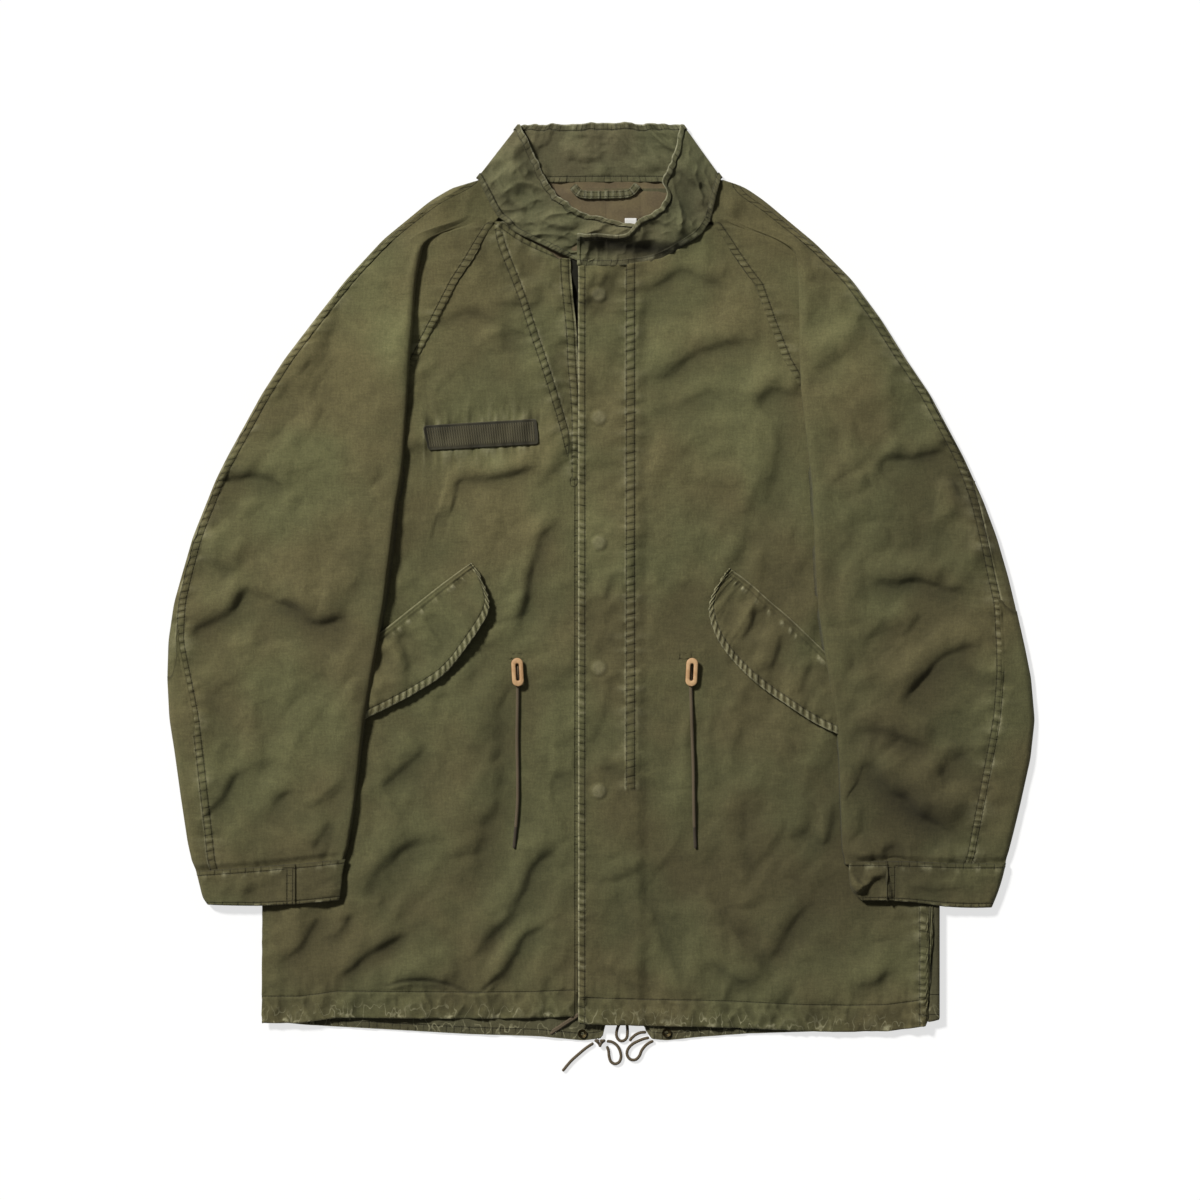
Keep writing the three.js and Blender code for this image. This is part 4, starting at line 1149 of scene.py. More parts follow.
def lower_rows(t, strip_start):
    """Points from the raglan seam, along the lower layer and round the roll, as (a, z)."""
    hooked, shoulder, seam, valley, roll, over, fold = sleeve_levels(t)
    low = lerp(over, 5.6, hooked)
    joint = low + 1.2 * hooked
    past_seam = seam + SEAM_HALF + 0.6
    rows = [
        (lerp(303.0, seam - SEAM_HALF, hooked), joint),
        (lerp(302.0, past_seam, hooked), joint - 0.1 * hooked),
        (lerp(301.0, valley - 2, hooked), low),
        (lerp(300.0, valley, hooked), lerp(low, over, 0.5)),
        (lerp(299.0, valley - 2, hooked), over),
    ]
    rows += [(fold + out, over + share * roll) for out, share in ROLL_POINTS]
    # Towards the neck it has no fold, and its points go straight across
    for k in range(2, len(rows)):
        a, z = rows[k]
        straight = lerp(past_seam, strip_start, 0.035 * (k - 1))
        rows[k] = (lerp(a, straight, shoulder), lerp(z, 6.8, shoulder))
    return rows


def sleeve_section(t):
    """Control points of every row of a sleeve: rows x points x (a, z)."""
    y, edge = t["y"], t["edge"]
    _, shoulder, _, _, roll, over, fold = sleeve_levels(t)
    rim = lerp(RIM, 7.0, shoulder)
    strip_start = np.minimum(t["outer_seam"], edge - 4)
    rows = lower_rows(t, strip_start)
    start = lerp(fold + 5.5, rows[-1][0], shoulder)
    for f in TOP_SHARES:
        rows.append((lerp(start, strip_start, f), lerp(rim, over + roll, top_profile(f))))
    inset = edge - 4.6
    rows += [
        (np.maximum(lerp(strip_start, inset, 0.5), strip_start + 0.3), rim - 0.1),
        (np.maximum(inset, strip_start + 0.6), rim - 0.9),
        (edge - 1.1, rim - 3.2),
        (edge, 0.5 * rim),
        (edge - 0.9, 2.2),
        (edge - 4.4, 0.8),
    ]
    # Below, it lies beside the body above the crossing, and on the front below it
    above = y > 98
    inner = np.minimum(np.where(above, t["body"] + 0.5, 303.0), edge - 9)
    climbed = np.where(above, 0.7, OVER_BODY)
    for share, on_front, z in ((0.3, 359, 0.7), (0.6, 347, 0.7), (0.8, 322, climbed)):
        rows.append((np.where(above, lerp(edge - 6, inner, share), on_front), z))
    rows.append((inner, climbed))
    return np.stack([np.stack(np.broadcast_arrays(a, z + 0 * y), -1) for a, z in rows])


# Height of the roll above the lower layer, by Y
ROLLS = {
    "right": ([-266, -200, -100, -17, 31, 79, 127, 175, 223, 271, 319],
              [8.5, 10.5, 12.0, 12.5, 13.0, 11.0, 8.5, 9.0, 12.0, 10.5, 12.5]),
    "left": ([-266, -200, -100, 60, 220, 320], [4.8, 7.0, 8.0, 8.0, 6.0, 5.5]),
}
for side, (heights_y, heights) in ROLLS.items():
    SLEEVES[side]["roll"] = softened(np.interp(SLEEVES[side]["y"], heights_y, heights), 12)
# Thickness, a column that faces up, the flat cut and its area
SLEEVE_SHEETS = {"front": (1.2, 60, (0.31, 0.67), 0.157), "back": (0.7, 3, (0.17, 0.67), 0.078)}
SLEEVE_RANGE = (0.75, 23.2)  # lowest and highest that its cloth may lie
# Parts that each step between control points is divided into, more where the cloth shows
SECTION_COUNTS = {
    "front": (6, 10, 2, 2, 2, 2, 3, 3, 3, 10, 12, 14, 15, 15, 15, 15),
    "back": (8, 8, 2, 2, 2, 2, 4, 4, 4),
}


def sleeve_grid(t, part):
    """Places on one layer of a sleeve, by row, and the control number of each column."""
    columns = subdivided(SECTION_COUNTS[part]) + (OUTER_INDEX if part == "back" else 0)
    grid = spline_table(sleeve_section(t), columns)
    a, z = grid[..., 0].T, grid[..., 1].T
    y = np.broadcast_to(t["y"][:, None], a.shape)
    return a, y, z, np.broadcast_to(columns, a.shape)


def cuff_line(a, side):
    """Where the sleeve's cloth ends, under its cuff."""
    if side == "right":
        return np.interp(a, [230, 255, 318, 345, 389], [-266, -268, -276, -278, -281])
    return np.interp(a, [230, 250, 270, 343, 389], [-270, -272, -271, -274, -273])


def raglan_seam(a, y, z, control, t, front_level):
    """Height, wear and painted shade, seam and run where the felled raglan seam lies on the front."""
    d = (a - np.interp(y, t["y"], t["seam"])) * 0.78
    s = -y * 1.25
    dz, worn = pucker(d, s, 181, lit=-t["sign"])
    hooked = smoothstep(y, 96, 120)
    joint = (1 - smoothstep(control, 1.8, 2.4)) * hooked * smoothstep(y, 352, 342)
    sewn = (1 - smoothstep(control, 2.0, 4.5)) * hooked * smoothstep(y, 352, 340)
    rim = 0.8 * (1 - smoothstep(control, 0, 0.7))
    z = lerp(z, front_level + 0.5 - rim, sewn) + dz * joint
    under_collar = smoothstep(y, 344, 358) * smoothstep(a, 128, 112)
    seam = np.abs(d) + FAR * under_collar
    return lerp(z, 5.0, under_collar), worn * joint, seam, rung_phase(d, s, 181)


def sleeve_relief(t, x, a, y, control):
    """Creases of a sleeve and the puckers of its outer seam; their wear and painted shade, and seam and
    run.
    """
    relief = fold_relief(x, y, t["folds"])
    relief = relief * (1 - smoothstep(control, OUTER_INDEX + 2, OUTER_INDEX + 3))
    relief = settled(relief + 1.3 * crumple(x, y, t["seed"]), 2.0)
    relief = relief * (1 - 0.6 * smoothstep(control, OUTER_INDEX, OUTER_INDEX + 2))
    gap = a - np.interp(y, t["y"], t["outer_seam"]) + 1.5
    dz, worn = pucker(gap, y, t["seam_seed"], rise=0.8, lit=1)
    share = smoothstep(350 - y, 0, 40) * smoothstep(control, 8.3, 10.2)
    run = rung_phase(gap, y, t["seam_seed"])
    return relief + dz * share, worn * share, np.abs(gap), run


def sleeve_piece(side, part, front):
    """One layer of a sleeve: the one that shows, or the one round its outer edge and below."""
    t = SLEEVES[side]
    a, y, z, control = sleeve_grid(t, part)
    bottom = cuff_line(a, side)
    first_y = SLEEVE_END - 12
    y = y + (bottom - first_y) * (1 - smoothstep(y, first_y, SLEEVE_END + 60))
    y = np.minimum(y, 386.2 - 0.3 * np.maximum(a - 117, 0))
    x = t["sign"] * a
    on_top = smoothstep(control, 8.3, 10.2)
    relief, wear_and_shade, seam, run = sleeve_relief(t, x, a, y, control)
    # Tone: lighter where its top stands up and darker in its hollows, partly wear and partly painted
    # shade; painted shade in its creases
    tone = (tone_at(x, y) * (1 + 0.04 * np.clip(relief, -2, 2) * on_top)
            * (1 - PAINTED_FOLD_SHADE * fold_shade(x, y, t["folds"]) * on_top))

    # Above the cuff the cloth is gathered a little, and goes in below the cuff
    from_cuff = y - bottom
    x = x + (t["sign"] * 317 - x) * 0.027 * (1 - smoothstep(from_cuff, 2, 16))
    relief = relief + gathers(a, from_cuff - 6, 171, 14, 1.3, 13)
    relief = relief - 3.0 * (1 - smoothstep(from_cuff, 4, 11))
    z = z + relief * on_top * (1 - smoothstep(control, OUTER_INDEX + 2, OUTER_INDEX + 4))

    front_level = softened_grid(front.surface(x, y))
    z, raglan_wear_and_shade, raglan, raglan_run = raglan_seam(a, y, z, control, t, front_level)
    inner = control < 2.4
    values = looks(tone, wear_and_shade + raglan_wear_and_shade, np.where(inner, raglan_run, run),
                   np.where(inner, raglan, seam))
    node = f"sleeve_{side}_{part}"
    points = np.stack([x, y, np.clip(z, *SLEEVE_RANGE)], -1)
    thickness, up_column, flat, area = SLEEVE_SHEETS[part]
    piece = shell(f"cloth_{node}", points, thickness, cloth, values, tuck=3,
                  up=(len(points) // 3, up_column))
    stands_for(piece, [node], "twill_top", flat=flat, held="folded",
               rests_on=[f"cloth_front_{side}"], area=area)
    return points, control


# Cuffs ------------------------------------------------------------------------------------------
# Corners of each cuff, from its seam to its end: outer and inner a, y
CUFFS = {
    "right": [(388.5, -277, 245, -265.5), (385, -291, 247.5, -278), (382, -302, 249, -292),
              (377.5, -309, 251, -304.5)],
    "left": [(388.5, -269.5, 238, -267.5), (385, -284, 238, -282), (380.5, -298, 241, -296),
             (375, -311.5, 250, -305)],
}
LAPS = {"right": 293.0, "left": 274.0}
CUFF_WIDTH = 40
# Parts that each step round a cuff is divided into
CUFF_COUNTS = (8, 22, 4, 4, 3, 3, 3, 3, 5, 4, 4, 8, 14, 12, 14, 20, 3)
FOLDS_CUFF = {
    "right": [(8, 1.5, [(-350, -300), (-325, -291), (-305, -284)]),
              (6, 1.2, [(-250, -301), (-253, -285)])],
    "left": [(5, 6.0, [(252, -303), (255, -294), (263, -284), (274, -277)]),
             (6, 2.0, [(296, -292), (330, -294), (350, -294)]),
             (4, 6.0, [(272, -272), (276, -284), (279, -296), (280, -308)]),
             (5, 4.0, [(240, -276), (246, -284), (249, -292)]),
             (5, 3.5, [(246, -300), (250, -294), (254, -290)])],
}


def cuff_section(lap, outer, inner):
    """Points round a cuff, from its start under the lap to the lap's edge, as (a, z)."""
    over, step = 7.2, 1.7
    section = [
        (lap + 16, over + 4.6), (lerp(inner, lap, 0.6), over + 4.8),
        (inner + 4.5, over + 4.6), (inner, over + 2.3), (inner + 4.5, over + 0.2),
        (lerp(inner, 322, 0.5), over), (322, over), (345, 1.6),
        (outer - 7, 0.9), (outer - 1.4, 2.4), (outer, 5.2), (outer - 1.4, 8.2),
        (outer - 7, 9.9), (352, 10.8), (330, over + step + 2.9),
        (lerp(lap, 330, 0.5), over + step + 4.6), (lap + 2, over + step + 4.8),
        (lap, over + step + 4.5),
    ]
    return np.stack([np.stack([a + 0 * inner, z + 0 * inner], -1) for a, z in section])


def cuff_puckers(a, distance, seed, far_seed):
    """Tucks that stand across the cuff's seam or its end."""
    return noise(a, distance * 0.5, 6.5, seed) + 0.5 * noise(a, distance * 0.5, 3.4, far_seed)


def cuff_grid(side, rows):
    """Places on a cuff by row, their control numbers, and their share of the way across it."""
    edges = spline_table(CUFFS[side], np.linspace(0, len(CUFFS[side]) - 1, rows))
    outer, outer_y, inner, inner_y = edges.T
    columns = subdivided(CUFF_COUNTS)
    grid = spline_table(cuff_section(LAPS[side], outer, inner), columns)
    a, z = grid[..., 0].T, grid[..., 1].T
    reach = (a - inner[:, None]) / (outer - inner)[:, None]
    y = lerp(inner_y[:, None], outer_y[:, None], reach)
    if side == "right":
        sag = -2.5 * np.sin(math.pi * np.clip(reach, 0, 1))
    else:
        sag = 1.5 * np.sin(2 * math.pi * reach)
    y = y + sag * np.linspace(0.3, 1, rows)[:, None]
    return a, y, z, np.broadcast_to(columns, a.shape), reach


def cuff_relief(a, x, y, from_seam, lap, lapped, folds):
    """Creases and tucks of a cuff, and their wear; darker along its seam, with painted shade along the
    lap's edge.
    """
    to_end = CUFF_WIDTH - from_seam
    tucked = cuff_puckers(a, from_seam, 205, 207)
    hemmed = cuff_puckers(a, to_end, 206, 209)
    dz = 1.8 * noise(a, y * 0.8, 24, 201) + 1.1 * (0.4 - soft_abs(noise(a, y, 13, 202)))
    dz = dz + 1.0 * tucked * np.exp(-from_seam / 7) + 0.9 * hemmed * np.exp(-to_end / 6)
    dz = dz - 0.6 * bell(to_end - 4.5, 1.2) - 0.5 * bell(from_seam - 5, 1.2)
    dz = dz - 0.6 * bell(a - lap - 7, 1.2) * lapped
    dz = settled(dz + fold_relief(x, y, folds), 1.3)
    # Its seam and its end turn in
    dz = dz - 0.9 * bell(from_seam, 1.4) - 0.7 * bell(to_end, 1.4)
    wear_and_shade = 0.45 * smoothstep(tucked, 0.0, 0.8) * bell(from_seam - 5, 3)
    wear_and_shade = wear_and_shade + 0.8 * smoothstep(hemmed, -0.1, 0.7) * bell(to_end - 1, 1.6)
    wear_and_shade = wear_and_shade - 0.9 * bell(from_seam - 0.2, 1.6) - 0.6 * lapped * bell(a - lap, 1.5)
    return dz, wear_and_shade


def cuff_piece(side):
    """A strip that goes round the wrist and laps over its own start."""
    rows, lap = 40, LAPS[side]
    a, y, z, control, reach = cuff_grid(side, rows)
    x = (-1 if side == "right" else 1) * a
    from_seam = np.broadcast_to(np.linspace(0, CUFF_WIDTH, rows)[:, None], a.shape)
    lapped = smoothstep(control, 13, 14)
    on_top = np.clip(smoothstep(control, 10.5, 12) + 1 - smoothstep(control, 2, 3), 0, 1)
    dz, wear_and_shade = cuff_relief(a, x, y, from_seam, lap, lapped, FOLDS_CUFF[side])
    z = z + dz * on_top + (4.5 if side == "right" else 1.5) * smoothstep(reach, 0.5, 0.05)
    beside_lap = lerp(FAR, np.abs(a - lap - 5) + 0.6, lapped)
    seam = np.minimum(beside_lap, np.abs(from_seam - 2) + SEAM_HALF - 3)
    # Tone: lighter where it stands up and darker in its hollows, partly wear and partly painted shade
    values = looks(tone_at(x, y) * 0.9 * (1 + 0.05 * dz), wear_and_shade, np.where(beside_lap < 7, y, a),
                   seam, CUFF_WIDTH - from_seam + 1.6)
    piece = shell(f"cloth_cuff_{side}", np.stack([x, y, z], -1), 1.4, cloth, values,
                  up=(17, a.shape[1] - 30))
    stands_for(piece, [f"cuff_{side}"], "twill_top", flat=(0.31, 0.04), held="folded",
               rests_on=[f"cloth_front_{side}", f"cloth_sleeve_{side}_front"])


def elbow_patch(side, back_points, control):
    """A second layer of cloth from the outer seam round the edge, its upper edge slanting."""
    low, high = (corner.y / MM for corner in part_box(f"elbow_patch_{side}"))
    columns = np.flatnonzero((control[0] >= OUTER_INDEX) & (control[0] < OUTER_INDEX + 7))
    under = back_points[:, columns]
    normals = normals_up(under, (len(under) // 2, 1))
    share = np.linspace(0, 1, 90)
    rise = lerp(-0.6, 0.5, smoothstep(share, 0.05, 0.7))
    start, fall = (46, 46) if side == "right" else (4, 12)
    grid = np.empty((len(share), len(columns), 3))
    edge = np.empty(grid.shape[:2])
    for k, slant in enumerate(np.linspace(0, 1, len(columns))):
        top = high + start - fall * min(slant * 1.6, 1)
        y = lerp(low + 6 * slant, top, share)
        for axis in range(3):
            path = np.interp(y, under[:, k, 1], under[:, k, axis])
            grid[:, k, axis] = path + rise * np.interp(y, under[:, k, 1], normals[:, k, axis])
        edge[:, k] = top - y
    x, y, _ = np.moveaxis(grid, -1, 0)
    values = looks(tone_at(x, y), -1.0 * bell(edge - 1.5, 2.4), y)
    piece = shell(f"cloth_elbow_patch_{side}", grid, 0.7, cloth, values, up=(45, 1))
    stands_for(piece, [f"elbow_patch_{side}"], "twill_top", flat=(0.055, (high + start - low) * MM),
               held="folded", rests_on=[f"cloth_sleeve_{side}_back"])


# Collar -----------------------------------------------------------------------------------------
# Neck seam x, y; free edge x, y; height of the cloth's middle; from the lower wing to the upper
COLLAR = [
    (-14, 306, 48, 342, 5.6), (-35, 314, 20, 345.5, 5.6), (-54, 323.3, -12, 353, 5.6),
    (-82, 336.3, -35, 365, 5.6), (-92, 346.2, -45, 374, 5.6), (-100, 353.2, -52, 384, 5.6),
    (-109, 370, -64, 412, 6.0), (-117.5, 386.5, -77, 437, 6.0), (-119.3, 388, -80, 438.7, 4.2),
    (-116, 386.5, -77, 438.5, 2.8), (-104, 384, -66, 439.5, 2.5), (-54, 384.2, -36, 440, 2.5),
    (0, 384.6, 0, 440, 2.5), (57, 384.6, 40, 440, 2.5), (104, 384.4, 66, 439.5, 2.5),
    (113, 386.8, 76.5, 438.5, 2.8), (116, 388.5, 79.7, 438.7, 4.2), (114.5, 386.5, 76, 436, 6.0),
    (110.5, 372, 71, 413, 6.2), (105.6, 351, 60, 387, 6.6), (102, 343.3, 63, 373, 7.0),
    (91, 330.5, 57, 359, 7.6), (57, 311, 36, 346.5, 8.6), (23, 304.6, 24, 333.5, 9.2),
    (0, 304, 0, 333, 9.3), (-22.5, 304, -22.5, 334, 9.3),
]
COLLAR_BACK = (8.2, 16.2)  # stations of its two rolled folds
COLLAR_LAST = len(COLLAR) - 1
COLLAR_CLOTH = 1.3
# Its rows: from, to and how many, closer together where it rolls over
COLLAR_ROWS = ((0, 7.2, 170), (7.2, 9.6, 22), (9.6, 14.8, 150), (14.8, 17.2, 22),
               (17.2, COLLAR_LAST, 200))


def strip(rows, count):
    """Grid between two edges, given by row as x, y, x, y, with the distance from each of them."""
    x0, y0, x1, y1 = (column[:, None] for column in rows.T)
    u = np.linspace(0, 1, count)
    wide = np.hypot(x1 - x0, y1 - y0)
    return lerp(x0, x1, u), lerp(y0, y1, u), u * wide, (1 - u) * wide, u


def collar_relief(x, y, run, from_neck, from_free, stations, front):
    """Creases, small ripples along its stitched edges, and their wear and painted shade: the free edge
    and ripple crests worn pale, ripple hollows painted dark as shade, and a dark line along its neck
    seam.
    """
    crease = 3.2 * noise(run, from_neck * 0.8, 32, 221)
    slanting = noise(run * 1.2 + from_neck * 0.6, from_neck * 0.7, 18, 222)
    crease = crease + 4.4 * (0.4 - soft_abs(slanting))
    crease = crease + 1.8 * (0.4 - soft_abs(noise(run, from_neck * 1.2, 9, 228)))
    crease = crease + fold_relief(x, y, FOLDS_COLLAR) * front
    crease = crease + fold_relief(x, y, FOLDS_COLLAR_BACK) * (1 - front)
    relief = settled(crease, 2.4) + gathers(run, from_free, 223, 7, 0.7, 7)
    relief = relief + gathers(run, from_neck, 224, 8, 0.9, 7)
    first, second = (smoothstep(np.abs(stations - place), 0.3, 1.6) for place in COLLAR_BACK)
    relief = relief * lerp(0.45, 1, first * second)
    small = noise(run, np.minimum(from_free, from_neck) * 0.3, 4.2, 226)
    stitched = np.maximum(bell(from_free - 3.6, 2.4), front * bell(from_neck - 2.8, 2.4))
    rows = -0.6 * bell(from_free - EDGE_ROW, 1.2) - 0.6 * bell(from_neck - 5.5, 1.2)
    relief = relief + rows + 0.5 * stitched * small + fold_relief(x, y, TROUGH) * front
    wear_and_shade = smoothstep(from_free, 1.0, 0.2) * (0.75 + 0.5 * wave(run, 3, 229))
    wear_and_shade = wear_and_shade + stitched * (0.35 * smoothstep(small, 0.05, 0.6)
                              - 0.5 * smoothstep(small, -0.05, -0.5))
    return relief, wear_and_shade - 0.6 * front * bell(from_neck - 0.2, 1.4)


def collar_piece():
    """One strip: from the lower wing round the back of the neck to the upper wing."""
    stations = np.unique(np.concatenate([np.linspace(*part) for part in COLLAR_ROWS]))[:, None]
    neck, free, level = np.split(spline_table(COLLAR, stations.ravel()), [2, 4], axis=1)
    along = run_length(*free.T)[:, None]
    frayed = 0.9 * wave(along, 12, 230) + 0.9 * wave(along, 5, 231)
    free = free + frayed * (free - neck) / 50
    x, y, from_neck, from_free, u = strip(np.hstack([neck, free]), 46)
    run = np.broadcast_to(run_length(*((neck + free) / 2).T)[:, None], x.shape)

    front = np.clip(smoothstep(COLLAR_BACK[0] - stations, 0.6, 2.2)
                    + smoothstep(stations - COLLAR_BACK[1], 0.6, 2.2), 0, 1)
    end = np.minimum(stations, COLLAR_LAST - stations)
    upper = smoothstep(stations, 19.5, 21.5)
    lift = front * 4.2 * smoothstep(u, 0.25, 1) * lerp(0.35, 1, smoothstep(end, 0.5, 3.5))
    z = level + lift + front * 1.1 * np.sin(math.pi * u)
    z = z + 4.2 * upper * bell(from_free - 2, 5.5) * lerp(0.5, 1, smoothstep(end, 0.1, 1.2))
    relief, wear_and_shade = collar_relief(x, y, run, from_neck, from_free, stations, front)
    z = np.maximum(z + lerp(0.8, 1, front) * relief, 0.95)

    # Tone: lighter where it stands up and darker in its hollows, partly wear and partly painted shade;
    # painted shade in the trough below the upper wing's free edge and in its creases
    tone = (tone_at(x, y) * (1 + 0.05 * np.clip(relief, -2, 2))
            * (1 - 1.2 * upper * fold_shade(x, y, TROUGH))
            * (1 - 0.2 * fold_shade(x, y, FOLDS_COLLAR) * front))
    values = looks(tone, wear_and_shade, rung_phase(0, 1.5 * run, 232),
                   edge=np.minimum(from_free + 0.4, from_neck + 1.2))
    middle = np.stack([x, y, z], -1)
    up = (int(np.searchsorted(stations.ravel(), 12.0)), 20)
    top = middle + normals_up(middle, up) * COLLAR_CLOTH / 2
    piece = shell("cloth_collar", top, COLLAR_CLOTH, collar_cloth, values, tuck=4, up=up)
    stands_for(piece, ["collar"], "collar_cloth", flat=(0.56, 0.075), held="folded", area=0.036,
               rests_on=["cloth_front_right", "cloth_front_left"])


FOLDS_COLLAR_BACK = [
    (9, 2.4, [(-50, 428), (-38, 412), (-20, 402), (2, 404)]), (8, 2, [(-30, 396), (-12, 388), (10, 390)]),
    (9, 2.2, [(2, 424), (20, 412), (44, 408)]), (8, 2.4, [(20, 400), (40, 393), (62, 398)]),
    (7, 2, [(-66, 412), (-52, 400), (-46, 390)]), (7, 1.8, [(-6, 432), (8, 420)]),
]
TROUGH = [(11, 2.0, [(-44, 333), (14, 326), (45, 322), (76, 323), (114, 340)])]
FOLDS_COLLAR = [
    (7, 3, [(-108, 386), (-88, 366), (-72, 352)]), (6, 2.5, [(-96, 398), (-80, 380), (-62, 364)]),
    (6, 2, [(-86, 418), (-74, 400), (-60, 384)]), (7, 2, [(-60, 345), (-40, 338), (-15, 336)]),
    (6, 2, [(-48, 336), (-20, 326), (0, 327)]), (7, 2.2, [(66, 372), (84, 352), (94, 340)]),
    (6, 2.5, [(70, 400), (84, 386), (100, 378)]), (6, 2, [(48, 350), (68, 338), (84, 332)]),
    (6, 2, [(-18, 322), (5, 318), (20, 321)]), (6, 1.8, [(24, 330), (44, 324), (60, 326)]),
]


# Flaps, tape and small cloth pieces -------------------------------------------------------------
# Hinge x, y and free edge x, y, from the upper end to the lower
FLAPS = {
    "right": [(-125, 18, -117, 8), (-131, 14, -109, -12), (-139, 8, -108, -27),
              (-151, -1, -117, -44), (-165, -12, -131, -64), (-184, -27, -150, -87),
              (-208, -46, -177, -105), (-232, -62, -205, -120), (-259, -83, -246, -140)],
    "left": [(124, 13, 117, 5), (129, 9, 107, -12), (136, 4, 104, -30), (147, -5, 112, -54),
             (160, -17, 128, -76), (180, -34, 150, -97), (204, -57, 178, -117),
             (228, -80, 206, -135), (250, -98, 232, -147)],
}
FOLDS_FLAP = {
    "right": [(7, 2.5, [(-196, -48), (-188, -70), (-184, -88)]),
              (6, 2, [(-172, -30), (-160, -50), (-150, -66)]),
              (8, 2, [(-222, -68), (-214, -84), (-200, -98)])],
    "left": [(7, 2.5, [(150, -20), (142, -42), (132, -60)]),
             (7, 2, [(176, -44), (168, -66), (160, -88)]),
             (8, 2, [(206, -72), (196, -92), (186, -110)])],
}
TAPE_CORNERS = ((-170, 150), (-62, 156.5), (-60, 133), (-166, 127))
TAPE_SIZE = (23.5, 108.0)
TAPE_ROUNDING = 2.6  # radius of its corners
TAPE_WEAVE = (2.3, 1.6)  # pitch of its weave along and across it


def flap_relief(side, x, y, run, start, from_hinge, from_free):
    """Creases, the puckers of the turned edge and the ripples of the hinge, and their wear and painted
    shade: crests worn pale, hollows painted dark as shade, dark stitch rows along the hinge.
    """
    crease = 1.6 * noise(x, y, 30, 241) + 0.4 * noise(x, y, 9, 246)
    crease = crease + 1.7 * (0.4 - soft_abs(noise(run, from_free * 0.4, 17, 242)))
    welt = 1 - smoothstep(start, EDGE_ROW - 0.8, EDGE_ROW + 0.6)
    ripple = ripples(2.5 * start, run, 243)
    hinge_welt = bell(from_hinge - 7.5, 2.6)
    hinge_ripple = noise(run, from_hinge * 0.15, 4.4, 244)
    hinge_ripple = hinge_ripple + 0.6 * noise(run, from_hinge * 0.15, 2.7, 247)
    inner = gathers(run, start - EDGE_ROW, 245, 12, 1.0, 8) * (1 - welt)
    relief = settled(crease + inner + fold_relief(x, y, FOLDS_FLAP[side]), 1.5)
    relief = relief + welt * (0.2 + 1.0 * ripple) - 0.6 * bell(start - EDGE_ROW, 1.2)
    relief = relief + 0.9 * hinge_welt * hinge_ripple - 0.6 * bell(from_hinge - 1.6, 0.8)
    relief = relief - 0.6 * bell(from_hinge - 5, 0.8) + 0.5 * bell(from_hinge - 3.3, 1.2)
    wear_and_shade = welt * (0.7 * smoothstep(ripple, 0.4, 0.85) - 0.4 * smoothstep(ripple, 0.35, 0.1))
    wear_and_shade = wear_and_shade + hinge_welt * (0.8 * smoothstep(hinge_ripple, 0.2, 0.8)
                                - 0.7 * smoothstep(hinge_ripple, -0.1, -0.6))
    wear_and_shade = wear_and_shade + 0.5 * bell(from_hinge, 0.8)
    return relief, wear_and_shade - 0.8 * bell(from_hinge - 1.6, 0.7) - 0.8 * bell(from_hinge - 5, 0.7)


def flap_piece(side, front):
    """A pocket flap that lies on its front and stands off it towards its free edge."""
    stations = np.linspace(0, len(FLAPS[side]) - 1, 160)
    rows = spline_table(FLAPS[side], stations)
    x, y, from_hinge, from_free, u = strip(rows, 50)
    run = np.broadcast_to(run_length(*rows[:, 2:].T)[:, None], x.shape)
    start = np.minimum(from_free, run + 4)
    tip = 5.5 * bell(stations[:, None] - 3.0, 2.4) if side == "right" else 0.0
    lift = 2.0 + (2.6 + tip) * smoothstep(u, 0.1, 1) + 1.2 * np.sin(math.pi * u)
    relief, wear_and_shade = flap_relief(side, x, y, run, start, from_hinge, from_free)
    z = front.softened_surface(x, y) + lift + relief
    # Tone: lighter where it stands up and darker in its hollows, partly wear and partly painted shade
    values = looks(tone_at(x, y) * (1 + 0.05 * relief), wear_and_shade, rung_phase(2.5 * start, run, 243),
                   edge=start)
    piece = shell(f"cloth_pocket_flap_{side}", np.stack([x, y, z], -1), 1.5, cloth, values, tuck=4)
    stands_for(piece, [f"pocket_flap_{side}"], "twill_top", flat=(0.062, 0.2), held="laid",
               rests_on=[f"cloth_front_{side}"], area=0.011)


def tape_piece(front):
    """The name tape: bare ribbed webbing, its ends turned in."""
    a, b, c, d = np.array(TAPE_CORNERS, float)
    u, v = np.meshgrid(np.linspace(0, 1, 34), np.linspace(0, 1, 230))
    width, length = TAPE_SIZE
    across, along = u * width, v * length
    ends = np.minimum(along, length - along)
    border = np.minimum(np.minimum(across, width - across), ends)
    drawn_in = TAPE_ROUNDING ** 2 - (TAPE_ROUNDING - ends) ** 2
    inset = np.where(ends < TAPE_ROUNDING, TAPE_ROUNDING - np.sqrt(np.maximum(drawn_in, 0)), 0)
    u = np.clip(0.5 + (u - 0.5) * (1 - 2 * inset / width), 0, 1)
    flat = lerp(lerp(a, b, v[..., None]), lerp(d, c, v[..., None]), u[..., None])
    x, y = flat[..., 0], flat[..., 1]
    turn = 2 * math.pi * along / TAPE_WEAVE[0]
    weave = np.sin(turn) + 0.7 * np.sin(turn + math.pi * np.round(across / TAPE_WEAVE[1]))
    weave = weave * smoothstep(border, 1.6, 2.6)
    z = front.softened_surface(x, y, 9) + 2.0 + 0.25 * smoothstep(border, 0, 3)
    z = z + 0.3 * noise(x, y, 16, 251) - 0.3 * bell(border - 2, 0.8) + 0.16 * weave
    rib = 0.5 + 0.28 * weave + 0.15 * noise(x, y, 14, 252) - 0.45 * bell(border - 1.2, 1.2)
    piece = shell("webbing_name_tape", np.stack([x, y, z], -1), 1.3, webbing,
                  {"rib": np.clip(rib, 0, 1)})
    stands_for(piece, ["name_tape"], "webbing", flat=(0.025, 0.114), held="laid",
               rests_on=["cloth_front_right"])


